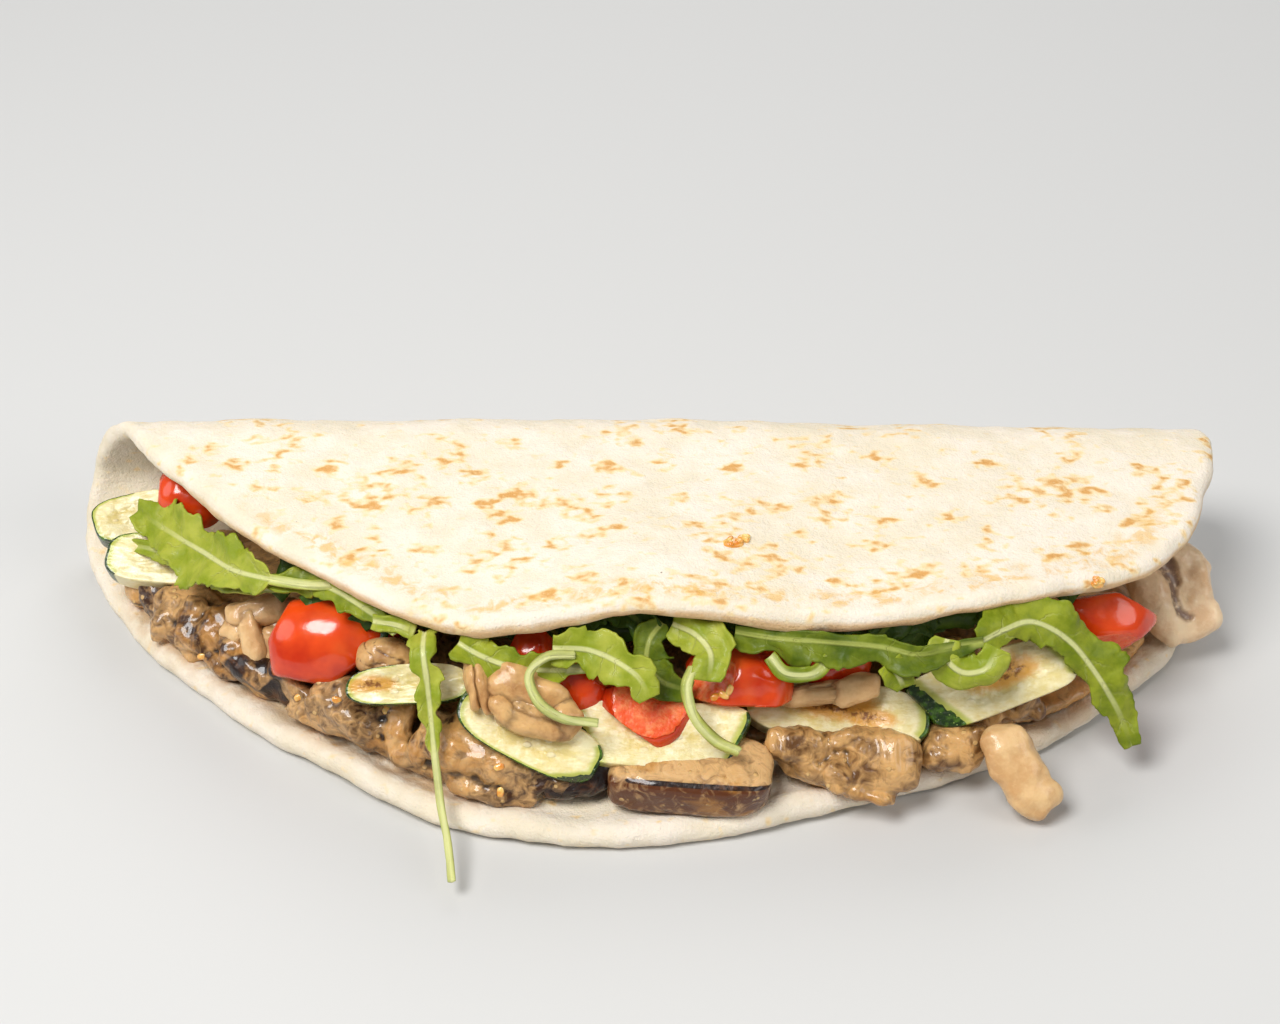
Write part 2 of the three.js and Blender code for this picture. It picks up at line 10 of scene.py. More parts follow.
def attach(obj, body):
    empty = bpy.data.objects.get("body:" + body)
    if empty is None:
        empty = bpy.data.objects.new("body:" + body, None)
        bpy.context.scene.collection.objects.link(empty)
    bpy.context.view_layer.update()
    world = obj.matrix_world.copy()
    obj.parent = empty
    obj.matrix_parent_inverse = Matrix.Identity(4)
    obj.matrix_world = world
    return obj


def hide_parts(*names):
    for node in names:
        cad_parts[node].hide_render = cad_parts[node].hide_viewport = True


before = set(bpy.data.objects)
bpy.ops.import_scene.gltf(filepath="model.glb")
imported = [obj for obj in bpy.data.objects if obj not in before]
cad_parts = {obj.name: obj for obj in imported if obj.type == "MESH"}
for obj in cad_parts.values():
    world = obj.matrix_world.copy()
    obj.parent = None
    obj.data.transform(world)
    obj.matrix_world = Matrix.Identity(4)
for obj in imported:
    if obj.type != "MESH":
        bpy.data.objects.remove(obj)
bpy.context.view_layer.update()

# All sizes below are millimetres in the frame that the food was measured in. The part's own
# origin lies at ORIGIN in it, and MM turns millimetres into the frame's metres.
MM = 0.001
ORIGIN = np.array([-0.77, -6.33, 0.0])

# The camera of the photo: its place, how far it looks down, its lens and its sensor
CAMERA_AT = (0.0, -417.0, 350.5)
CAMERA_DOWN = 36.0
CAMERA_LENS = 67.5
CAMERA_SENSOR = 36

# The flatbread: its outline has a point every 18 degrees round its middle, x and s across the fold
BREAD_THICKNESS = 4.8
BREAD_RADIUS = 128
FOLD_HEIGHT = 44.0
RIGHT_DROP = 2.4
FOLD_Y = 34.0
BREAD_MIDDLE = (0.0, 23.0)
BREAD_OUTLINE = [
    (131, 23), (129, 65), (110, 101), (74, 118), (36, 126.5), (0, 126), (-36, 128.5),
    (-67, 110), (-93, 88), (-117, 57), (-133, 22), (-125, -7.5), (-99, -40),
    (-70, -64.5), (-38, -84.5), (-1, -88.5), (33.5, -81.5), (66.5, -69.5), (100.5, -49.5), (126, -18.5),
]
RIM_START = 0.978
STAIN_WIDTH = 3.5

# Where the pan toasted the top flap: x, distance from the fold, and how wide, before it spreads
TOAST_SPREAD = 1.25
TOASTED = [
    (-28, 22, 3.6), (-33, 26, 3), (-22, 24, 3), (-54, 13, 4), (-45, 11, 2.6), (-37, 15, 3.4), (-58, 24, 4),
    (-18, 42, 2.6), (-35, 47, 3), (-27, 49, 2.6), (-29, 51.5, 2.4), (-20, 60, 3), (-47, 42, 3), (-80, 3, 4),
    (-66, 33, 3), (-8, 12, 3), (5, 10, 3), (11, 35, 2.4), (8, 24, 2.4), (20, 12, 3), (29, 27, 2.8),
    (41, 24, 3.6), (46, 22, 2.4), (38, 9, 3.4), (52, 31, 3), (50, 39, 3.4), (42, 53, 2.8), (56, 51, 3.8),
    (61, 49, 3), (50, 55, 3.4), (67, 30, 3), (54, 7, 3.2), (63, 16, 3), (71, 48, 3.8), (84, 22, 3.2),
    (92, 15, 3), (94, 40, 3.2), (88, 43, 3), (110, 27, 3.6), (106, 30, 2.6), (100, 18, 3), (112, 10, 3),
    (12, 60, 3), (9, 54, 2.6), (-62, 45, 3), (-84, 20, 3), (-90, 11, 3.4), (30, 48, 3), (17, 46, 3),
    (78, 8, 3), (120, 18, 2.6), (-98, 5, 3), (-70, 12, 3), (-12, 27, 2.6), (33, 37, 2.6), (-5, 36, 2.4),
    (24, 57, 2.6), (103, 45, 2.4),
]

# Directions as the camera sees them, and the way that the leaves face
UP_IN_VIEW = np.array([0, 0.588, 0.809])
OUT_OF_VIEW = np.array([0, -0.809, 0.588])
LEAF_FACING = np.array([0, -0.81, 0.59])
FACING_TILT = 54


# Shapes of numbers

def smooth(value, low, high):
    t = np.clip((np.asarray(value, float) - low) / (high - low), 0, 1)
    return t * t * (3 - 2 * t)


def bell(x, middle, width):
    return np.exp(-(((x - middle) / width) ** 2))


def unevenness(x, y, z):
    """Slow uneven waves, the same for the same place, between about -1 and 1"""
    first = np.sin(0.9 * x + 1.7 * y + 0.4) * np.cos(1.3 * y - 0.8 * z)
    second = np.sin(2.1 * z + 1.1 * x + 2.2) * np.cos(1.9 * x - 0.7 * y + 1)
    return 0.55 * first + 0.45 * second


def grain(points, size, seed, octaves=2):
    """Smooth noise about 0 for places in millimetres, in waves about size long"""
    shift = Vector((seed * 7.31, -seed * 3.17, seed * 5.77))
    return np.array([noise.fractal(Vector(p) / size + shift, 1.0, 2.0, octaves) for p in points])


def fold_height(x):
    return FOLD_HEIGHT - RIGHT_DROP * smooth(x, 0, 130)


def fold_radius(x):
    return (fold_height(x) - BREAD_THICKNESS) / 2


def cubic(first, second, slope_in, slope_out, t):
    t = t[:, None]
    bend = -3 * first + 3 * second - 2 * slope_in - slope_out
    return first + slope_in * t + bend * t**2 + (2 * first - 2 * second + slope_in + slope_out) * t**3


def closed_curve(points, turns):
    """Places on the closed curve through points, turns from 0 to 1 round it"""
    points = np.array(points, float)
    count = len(points)
    along = (np.asarray(turns) % 1) * count
    start = np.floor(along).astype(int) % count
    before, a, b, after = (points[(start + k) % count] for k in (-1, 0, 1, 2))
    return cubic(a, b, 0.5 * (b - before), 0.5 * (after - a), along - np.floor(along))


def open_curve(points, where):
    """Places on the curve through points and its directions there, where from 0 to 1 along it"""
    points = np.array(points, float)
    padded = np.vstack([2 * points[0] - points[1], points, 2 * points[-1] - points[-2]])
    steps = np.linspace(0, 1, 40, endpoint=False)
    pieces = []
    for k in range(len(points) - 1):
        p0, p1, p2, p3 = padded[k:k + 4]
        d0, d1, d2 = (math.sqrt(np.linalg.norm(q - p)) for p, q in ((p0, p1), (p1, p2), (p2, p3)))
        slope_in = ((p1 - p0) / d0 - (p2 - p0) / (d0 + d1) + (p2 - p1) / d1) * d1
        slope_out = ((p2 - p1) / d1 - (p3 - p1) / (d1 + d2) + (p3 - p2) / d2) * d1
        pieces.append(cubic(p1, p2, slope_in, slope_out, steps))
    line = np.vstack([*pieces, points[-1:]])
    lengths = np.concatenate([[0], np.cumsum(np.linalg.norm(np.diff(line, axis=0), axis=1))])
    lengths /= lengths[-1]

    def place(t):
        return np.stack([np.interp(t, lengths, line[:, k]) for k in range(3)], axis=1)

    where = np.asarray(where, float)
    direction = place(np.minimum(where + 0.01, 1)) - place(np.maximum(where - 0.01, 0))
    return place(where), direction / np.linalg.norm(direction, axis=1, keepdims=True)


# Modelling

def alone(piece):
    """Selects this piece and nothing else"""
    bpy.ops.object.select_all(action="DESELECT")
    piece.select_set(True)
    bpy.context.view_layer.objects.active = piece


def started(primitive, name, **settings):
    """A new piece from one of Blender's primitives"""
    bpy.ops.object.select_all(action="DESELECT")
    getattr(bpy.ops.mesh, f"primitive_{primitive}_add")(**settings)
    piece = bpy.context.object
    piece.name = piece.data.name = name
    return piece


def points_of(piece):
    points = np.empty(3 * len(piece.data.vertices))
    piece.data.vertices.foreach_get("co", points)
    return points.reshape(-1, 3)


def put(piece, points):
    piece.data.vertices.foreach_set("co", np.ascontiguousarray(points, np.float32).ravel())
    piece.data.update()


def normals_of(piece):
    normals = np.empty(3 * len(piece.data.vertices))
    piece.data.vertices.foreach_get("normal", normals)
    return normals.reshape(-1, 3)


def mark(piece, name, values):
    """Keeps one number for each vertex, for the piece's finish to read"""
    layer = piece.data.attributes.new(name, "FLOAT", "POINT")
    layer.data.foreach_set("value", np.ascontiguousarray(values, np.float32))


def modified(piece, kind, **settings):
    """Adds a modifier and applies it"""
    alone(piece)
    modifier = piece.modifiers.new(kind, kind)
    for key, value in settings.items():
        setattr(modifier, key, value)
    bpy.ops.object.modifier_apply(modifier=modifier.name)


def subdivided(piece, cuts):
    alone(piece)
    bpy.ops.object.mode_set(mode="EDIT")
    bpy.ops.mesh.select_all(action="SELECT")
    bpy.ops.mesh.subdivide(number_cuts=cuts)
    bpy.ops.object.mode_set(mode="OBJECT")


def fused(piece, size, ease):
    """Grows overlapping shells into one skin, then eases it"""
    modified(piece, "REMESH", mode="VOXEL", voxel_size=size, adaptivity=0)
    modified(piece, "SMOOTH", factor=0.5, iterations=ease)
    return piece


def hollows(piece, ease, depth):
    """How far each point lies below the eased piece, 1 at depth"""
    eased = piece.copy()
    eased.data = piece.data.copy()
    bpy.context.scene.collection.objects.link(eased)
    modified(eased, "SMOOTH", factor=0.5, iterations=ease)
    below = ((points_of(eased) - points_of(piece)) * normals_of(piece)).sum(axis=1)
    bpy.data.objects.remove(eased)
    return np.clip(below / depth, 0, 1)


def joined(name, pieces):
    bpy.ops.object.select_all(action="DESELECT")
    for piece in pieces:
        piece.select_set(True)
    bpy.context.view_layer.objects.active = pieces[0]
    bpy.ops.object.join()
    pieces[0].name = pieces[0].data.name = name
    return pieces[0]


def swollen(piece, *layers):
    """Moves each point out along its normal by noise: (size, height, seed) a layer"""
    points, normals = points_of(piece), normals_of(piece)
    total = sum(height * grain(points, size, seed) for size, height, seed in layers)
    put(piece, points + normals * total[:, None])


def served(piece, finish, slot, *nodes):
    """Puts a finished piece in its place in metres, with its finish, and hides the imported parts that it
    stands for
    """
    put(piece, (points_of(piece) - ORIGIN) * MM)
    alone(piece)
    bpy.ops.object.shade_smooth()
    piece.data.materials.clear()
    piece.data.materials.append(finish.material)
    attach(piece, "root")
    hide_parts(*nodes)
    return piece


def placing(at, turn, tilt=FACING_TILT, roll=0):
    """How a piece lies: rolled about its length, turned in its own plane, tilted toward the camera"""
    def turned(angle, axis):
        return Matrix.Rotation(math.radians(angle), 4, axis)
    return np.array(Matrix.Translation(at) @ turned(tilt, "X") @ turned(turn, "Z") @ turned(roll, "X"))


def laid(points, matrix):
    return points @ matrix[:3, :3].T + matrix[:3, 3]


def lump(name, at, size, turn=0, tilt=FACING_TILT, square=0.3, uneven=0.08, seed=1, fine=5):
    """A soft uneven block, an egg at square 0 and nearly a box at 1; with its points before it is laid"""
    piece = started("ico_sphere", name, subdivisions=fine, radius=1)
    unit = points_of(piece)
    power = 1 - 0.6 * square
    grow = 1 + uneven * unevenness(2 * unit[:, 0] + seed, 2 * unit[:, 1] - seed, 2 * unit[:, 2] + 3 * seed)
    own = np.sign(unit) * np.abs(unit) ** power * grow[:, None]
    put(piece, laid(own * np.array(size) / 2, placing(at, turn, tilt)))
    return piece, own


def slabs(name, at, slices, seed, square=0.5):
    """Separate slices, each right, up and out of at in the view, with its size and turn"""
    pieces = []
    for k, ((right, up, out), size, turn) in enumerate(slices):
        where = np.array(at) + right * np.array([1, 0, 0]) + up * UP_IN_VIEW + out * OUT_OF_VIEW
        shape = {"turn": turn, "square": square, "uneven": 0.12, "seed": seed + k, "fine": 4}
        piece, _ = lump(f"{name}_{k}", tuple(where), size, **shape)
        swollen(piece, (5, 0.7, seed + k), (1.8, 0.2, seed - k))
        pieces.append(piece)
    return pieces


def as_disc(piece, rim_share):
    """Reads a unit sphere as a disc: each point's angle, its side as 1 or -1, how far out it lies on the
    face, which ends at 1, and its turn round the rim, from 0 to a right angle"""
    unit = points_of(piece)
    away = np.arccos(np.clip(unit[:, 2], -1, 1)) / (math.pi / 2)
    side = np.where(away <= 1, 1.0, -1.0)
    away = np.minimum(away, 2 - away)
    angle = np.arctan2(unit[:, 1], unit[:, 0])
    rim_turn = np.clip((away - (1 - rim_share)) / rim_share, 0, 1) * math.pi / 2
    return angle, side, away / (1 - rim_share), rim_turn


# Finishes

class Reading:
    """A value in a finish's nodes. Sums written with it become Math nodes."""

    def __init__(self, finish, socket):
        self.finish = finish
        self.socket = socket

    def reckoned(self, operation, *values, clamp=False):
        settings = {"operation": operation, "use_clamp": clamp}
        return self.finish.node("ShaderNodeMath", settings, dict(enumerate(values)))

    def __add__(self, other): return self.reckoned("ADD", self, other)
    def __radd__(self, other): return self.reckoned("ADD", other, self)
    def __sub__(self, other): return self.reckoned("SUBTRACT", self, other)
    def __rsub__(self, other): return self.reckoned("SUBTRACT", other, self)
    def __mul__(self, other): return self.reckoned("MULTIPLY", self, other)
    def __rmul__(self, other): return self.reckoned("MULTIPLY", other, self)

    def held(self):
        """The value kept between 0 and 1"""
        return self.reckoned("ADD", self, 0, clamp=True)

    def over(self, low, high):
        """0 below low and 1 above high, smooth between; turned round where low is above high"""
        turned = low > high
        sockets = {0: self, 1: min(low, high), 2: max(low, high), 3: float(turned), 4: float(not turned)}
        return self.finish.node("ShaderNodeMapRange", {"interpolation_type": "SMOOTHSTEP"}, sockets)

    def absolute(self): return self.reckoned("ABSOLUTE", self)
    def sine(self): return self.reckoned("SINE", self)
    def larger(self, other): return self.reckoned("MAXIMUM", self, other)


def linear(colour):
    """The linear colour of a hex colour as a picture shows it"""
    parts = [int(colour[k:k + 2], 16) / 255 for k in (1, 3, 5)]
    return (*(p / 12.92 if p <= 0.04045 else ((p + 0.055) / 1.055) ** 2.4 for p in parts), 1.0)


class Finish:
    """A material, built from readings and mixes of colours"""

    def __init__(self, name, **constants):
        self.material = bpy.data.materials.new(name)
        self.material.use_nodes = True
        self.tree = self.material.node_tree
        self.shader = self.tree.nodes["Principled BSDF"]
        for socket, value in constants.items():
            self.shader.inputs[socket.replace("_", " ")].default_value = value
        self.place = self.node("ShaderNodeTexCoord", {}, {}, "Object")

    def node(self, kind, settings, sockets, out=0):
        """Any node: its settings are made first, then its sockets get values or links"""
        node = self.tree.nodes.new(kind)
        for key, value in settings.items():
            setattr(node, key, value)
        for key, value in sockets.items():
            if isinstance(value, Reading):
                self.tree.links.new(value.socket, node.inputs[key])
            else:
                node.inputs[key].default_value = value
        return Reading(self, node.outputs[out])

    def noise(self, size, detail=3.0, rough=0.55, warp=0.0, place=None):
        """Noise from 0 to 1 in patches about size millimetres across"""
        sockets = {"Scale": 1 / (size * MM), "Detail": detail, "Roughness": rough, "Distortion": warp}
        sockets["Vector"] = place or self.place
        return self.node("ShaderNodeTexNoise", {}, sockets)

    def cells(self, size, place=None):
        """Distance to the nearest of points scattered about size millimetres apart"""
        sockets = {"Scale": 1 / (size * MM), "Vector": place or self.place}
        return self.node("ShaderNodeTexVoronoi", {"feature": "F1"}, sockets)

    def kept(self, name):
        """The number that the mesh keeps under this name"""
        return self.node("ShaderNodeAttribute", {"attribute_name": name}, {}, "Fac")

    def mix(self, first, second, share):
        """From the first colour to the second by share"""
        first, second = (linear(c) if isinstance(c, str) else c for c in (first, second))
        settings = {"data_type": "RGBA", "blend_type": "MIX", "clamp_factor": True}
        return self.node("ShaderNodeMix", settings, {0: share, 6: first, 7: second}, 2)

    def stretched(self, scale):
        """Places for a pattern that is longer along the axes where scale is below 1"""
        return self.node("ShaderNodeMapping", {}, {"Vector": self.place, "Scale": scale})

    def strand(self):
        """The piece's own lengthwise and crosswise readings, from 0 to 1"""
        unwrapped = self.node("ShaderNodeTexCoord", {}, {}, "UV")
        return [self.node("ShaderNodeSeparateXYZ", {}, {0: unwrapped}, name) for name in "XY"]

    def coat(self, colour, roughness, relief=None, height=0.3):
        """Joins the readings to the shader; height is the relief's, in millimetres"""
        sockets = {"Base Color": colour, "Roughness": roughness}
        if relief is not None:
            bump = {"Height": relief, "Strength": 1.0, "Distance": height * MM}
            sockets["Normal"] = self.node("ShaderNodeBump", {}, bump)
        for name, value in sockets.items():
            if isinstance(value, Reading):
                self.tree.links.new(value.socket, self.shader.inputs[name])
            else:
                self.shader.inputs[name].default_value = value
        return self


CREAMY_GLOW = (1.0, 0.7, 0.45)


def bread_finish():
    """Soft white flatbread, toasted in flecks on top, peach under its rims from toasting and painted shade,
    stained by the juices
    """
    bread = Finish(
        "baked_flatbread", Subsurface_Weight=0.1, Subsurface_Scale=0.003, Subsurface_Radius=CREAMY_GLOW,
        Specular_IOR_Level=0.25,
    )
    broad, floury, fine = bread.noise(26), bread.noise(7, 4), bread.noise(1.6, 4, 0.65)
    flour = (0.55 * floury + 0.45 * broad).over(0.36, 0.62)
    colour = bread.mix("#e7dac0", "#f0e4d2", flour)
    colour = bread.mix(colour, "#e6d5b4", 0.6 * bread.kept("side").held())
    # Peach under the flap's rims: partly toasting, partly painted shade where the rim turns down away from
    # the light
    toasted_and_painted_shade_under = bread.kept("under").held() * bread.noise(5, 3).over(0.2, 0.5)
    colour = bread.mix(colour, "#dcae72", 0.75 * toasted_and_painted_shade_under)
    patch = bread.noise(2.4, 1, 0.5, 0.2, bread.stretched((0.75, 1.1, 0.9)))
    reach = patch + 0.36 * bread.kept("toast") - 0.16
    halo = reach.over(0.45, 0.64)
    core = reach.over(0.58, 0.78) * bread.noise(0.9, 3, 0.6).over(0.1, 0.5)
    colour = bread.mix(colour, "#f1d6a2", 0.9 * halo)
    colour = bread.mix(colour, "#d39546", 0.85 * core)
    rim = bread.kept("rim_toast") * bread.noise(3.4, 3, 0.6, 0.5).over(0.44, 0.66)
    colour = bread.mix(colour, "#e6b868", 0.75 * rim)
    stain = bread.kept("stain") * bread.noise(5, 3).over(0.28, 0.6)
    colour = bread.mix(colour, "#b8863f", 0.65 * stain)
    specks = bread.cells(5.5).over(0.05, 0.03) * bread.noise(14).over(0.57, 0.62)
    colour = bread.mix(colour, "#6b5643", 0.7 * specks)
    relief = 0.6 * floury + 0.4 * fine + 0.25 * bread.noise(0.5, 2)
    return bread.coat(colour, 0.82 - 0.45 * stain, relief, 0.9)


def rocket_finish(name, deep, bright, rib):
    """A rocket leaf: green blade, paler midrib and faint side veins, a thin wax shine"""
    rocket = Finish(
        name, Subsurface_Weight=0.06, Subsurface_Scale=0.001, Subsurface_Radius=(0.7, 1.0, 0.1),
        Coat_Weight=0.06, Specular_IOR_Level=0.22,
    )
    along, across = rocket.strand()
    aside = (across - 0.5).absolute() * 2
    breadth = rocket.kept("breadth")
    from_rib = aside * breadth
    rib_mask = from_rib.over(0.8, 0.3) * along.over(1.0, 0.6)
    stalk = rocket.kept("stalk")
    slant = along * 40 - from_rib * 1.1 + rocket.noise(5) * 9
    on_blade = (1 - stalk) * rocket.noise(6).over(0.4, 0.6)
    veins = slant.sine().over(0.90, 0.99) * from_rib.over(4.5, 1.5) * on_blade
    mottled = rocket.noise(6, 4).over(0.3, 0.7)
    colour = rocket.mix(deep, bright, mottled)
    colour = rocket.mix(colour, rib, 0.14 * veins)
    colour = rocket.mix(colour, rib, (0.75 * rib_mask).larger(0.85 * stalk * from_rib.over(1.4, 0.2)))
    relief = 0.5 * rocket.noise(1.3, 3) - 0.4 * veins + 0.7 * rib_mask + 0.9 * rocket.noise(3.5, 2)
    return rocket.coat(colour, 0.42 + 0.16 * mottled, relief, 0.4)


def tomato_finish():
    """Ripe tomato: glassy red skin, paler wet flesh with streaks on the cuts"""
    tomato = Finish(
        "ripe_tomato", Subsurface_Weight=0.2, Subsurface_Scale=0.0025, Subsurface_Radius=(1.0, 0.25, 0.08),
        Coat_Weight=0.45, Coat_Roughness=0.1, IOR=1.43,
    )
    cut = (tomato.kept("cut") + 0.15 * (tomato.noise(2.5) - 0.5)).over(0.3, 0.7)
    skin = tomato.mix("#c22d07", "#e64c14", tomato.noise(9, 3).over(0.3, 0.7))
    skin = tomato.mix(skin, "#ea6a2c", 0.5 * tomato.noise(14, 2).over(0.55, 0.75))
    grainy = tomato.noise(0.9, 3, 0.6)
    streaks = (0.6 * tomato.noise(3.4, 3, 0.6, 0.8) + 0.4 * grainy).over(0.4, 0.66)
    flesh = tomato.mix("#ee5418", "#f78a50", streaks)
    colour = tomato.mix(skin, flesh, cut)
    relief = 0.35 * tomato.noise(5, 3) + cut * (0.5 * tomato.noise(1.4, 3) + 0.3 * grainy)
    return tomato.coat(colour, 0.18 + 0.2 * cut, relief, 0.6)


def seed_finish():
    """A tomato seed in its jelly"""
    seed = Finish("tomato_seed", Subsurface_Weight=0.3, Subsurface_Scale=0.001, Coat_Weight=0.6)
    tint = seed.noise(2.2, 3)
    colour = seed.mix("#e08a2c", "#f4c56e", tint.over(0.35, 0.65))
    return seed.coat(colour, 0.22, tint, 0.3)


def mushroom_finish(name, deep, pale, crease_shade):
    """Cooked mushroom: beige, moist, with painted shade in its creases"""
    mushroom = Finish(
        name, Subsurface_Weight=0.15, Subsurface_Scale=0.002, Subsurface_Radius=CREAMY_GLOW,
        Coat_Weight=0.4, Coat_Roughness=0.12, Specular_IOR_Level=0.25,
    )
    patches = mushroom.noise(6, 4, 0.6).over(0.32, 0.68)
    fibres = mushroom.noise(1.4, 3, 0.6, 0.4)
    hollow = mushroom.kept("hollow")
    colour = mushroom.mix(deep, pale, patches)
    colour = mushroom.mix(colour, pale, 0.4 * fibres.over(0.5, 0.7))
    # Painted shade: the crease colour darkens the hollows and the places where slices meet
    colour = mushroom.mix(colour, crease_shade, 0.95 * hollow.over(0.08, 0.6))
    gill = mushroom.kept("gill") * mushroom.noise(1.6, 3).over(0.25, 0.55)
    colour = mushroom.mix(colour, "#7d6152", 0.9 * gill)
    relief = 0.5 * mushroom.noise(2.6, 3) + 0.4 * fibres
    return mushroom.coat(colour, 0.3 + 0.25 * mushroom.noise(4), relief, 0.5)


def zucchini_finish():
    """A zucchini slice: dark speckled skin, green ring, pale flesh with a seedy middle, grill marks"""
    zucchini = Finish(
        "zucchini_slice", Subsurface_Weight=0.18, Subsurface_Scale=0.0025,
        Subsurface_Radius=(0.9, 1.0, 0.5), Coat_Weight=0.3, Coat_Roughness=0.18,
    )
    near_skin = zucchini.kept("near_skin")
    skin_edge = (zucchini.kept("skin") + 0.1 * (zucchini.noise(1.2) - 0.5)).over(0.4, 0.55)
    middle = zucchini.kept("middle")
    wet = zucchini.noise(3.2, 4, 0.6)
    fibres = zucchini.noise(1.1, 3, 0.6, 0.3, zucchini.stretched((0.5, 1.6, 1)))
    colour = zucchini.mix("#e8d692", "#f5eabc", (0.6 * wet + 0.4 * fibres).over(0.36, 0.62))
    colour = zucchini.mix(colour, "#d6be68", 0.6 * middle * wet.over(0.62, 0.4))
    pips = zucchini.cells(3.2, place=zucchini.stretched((0.7, 1.2, 1))).over(0.26, 0.16) * middle
    colour = zucchini.mix(colour, "#f3e8c0", 0.7 * pips)
    colour = zucchini.mix(colour, "#b2b844", 0.9 * near_skin.over(0.3, 0.95))
    char = zucchini.kept("char")
    browned = (0.8 * char + 0.5 * zucchini.noise(2.4, 4, 0.65, 0.5)).over(0.36, 0.72)
    colour = zucchini.mix(colour, "#dc9c34", 0.85 * browned)
    colour = zucchini.mix(colour, "#7a4312", 0.9 * (char * zucchini.noise(1.4, 4, 0.7)).over(0.34, 0.54))
    green = zucchini.mix("#1c3606", "#4c7416", zucchini.noise(2.0, 3).over(0.45, 0.7))
    green = zucchini.mix(green, "#a8bf6a", zucchini.cells(1.3).over(0.14, 0.08) * 0.6)
    colour = zucchini.mix(colour, green, skin_edge)
    relief = 0.5 * zucchini.noise(1.8, 3) + 0.35 * fibres + 0.35 * pips
    return zucchini.coat(colour, 0.26 + 0.15 * wet - 0.08 * skin_edge, relief, 0.6)


def aubergine_finish(name, deep, pale, amber):
    """Stewed aubergine: wet and half clear, brown with amber parts, dark purple skin, pale seeds, painted
    shade in its hollows
    """
    stew = Finish(
        name, Subsurface_Weight=0.15, Subsurface_Scale=0.002, Subsurface_Radius=(1.0, 0.6, 0.3),
        Coat_Weight=0.55, Coat_Roughness=0.07, Specular_IOR_Level=0.25,
    )
    broad = stew.noise(7, 3, 0.55, 0.4)
    strands = stew.noise(3, 4, 0.55, 1.6)
    tint = stew.kept("tint")
    shade = tint + 1.2 * (broad - 0.5) + 2.2 * (strands - 0.5)
    colour = stew.mix(deep, pale, shade.held())
    colour = stew.mix(colour, amber, 0.5 * stew.kept("amber") * stew.noise(4, 3, 0.5, 0.5).over(0.4, 0.6))
    # Painted shade: near-black in the hollows between the chunks and in the creases
    colour = stew.mix(colour, "#1e1006", 0.95 * stew.kept("hollow").over(0.1, 0.7))
    seeds = stew.cells(3.1).over(0.22, 0.14) * stew.noise(9).over(0.5, 0.56)
    colour = stew.mix(colour, "#e0b878", 0.75 * seeds)
    peel = (stew.kept("peel") + 0.2 * (stew.noise(2.2) - 0.5)).over(0.4, 0.62)
    dark = stew.mix("#22120b", "#6a4020", stew.noise(4, 4, 0.6, 0.8).over(0.45, 0.75))
    colour = stew.mix(colour, dark, peel)
    relief = 0.5 * strands + 0.4 * broad + 0.3 * seeds + 0.08 * stew.noise(0.9, 2)
    return stew.coat(colour, 0.24 + 0.25 * strands, relief, 0.8)


# The flatbread

def flat_place(reach, angle):
    edge = closed_curve(BREAD_OUTLINE, angle / (2 * math.pi))
    middle = np.array(BREAD_MIDDLE)
    return (middle + reach[:, None] * (edge - middle)).T


def flap_rise(x, d):
    sag = -1.2 * bell(x, -76, 20) - 1.2 * bell(x, 112, 18)
    lift = 2.4 * bell(x, 6, 26) + bell(x, 84, 22)
    return smooth(d, 12, 66) * (sag + lift + 0.7 * np.sin(x / 13 + d / 30))


def rim_lift(x, s, reach):
    wave = 1.4 * bell(x, 104, 16) + 1.1 * bell(x, -58, 22) + 0.8 * bell(x, 40, 16)
    return smooth(reach, 0.93, 1) * smooth(-s, 5, 30) * wave


def folded(x, s, h, reach):
    """The folded places of flat points, h over the middle of the bread toward the filling"""
    half = BREAD_THICKNESS / 2
    radius = fold_radius(x)
    bend = s / radius
    turned = np.clip(bend, 0, math.pi)
    d = np.maximum(s - math.pi * radius, 0)
    below = np.stack([x, FOLD_Y + s, half + h + rim_lift(x, s, reach)])
    round_fold = np.stack([
        x, FOLD_Y + (radius - h) * np.sin(turned), fold_height(x) / 2 - (radius - h) * np.cos(turned),
    ])
    top = np.stack([x, FOLD_Y - d, fold_height(x) - half - h + flap_rise(x, d)])
    return np.where(s < 0, below, np.where(bend < math.pi, round_fold, top)).T


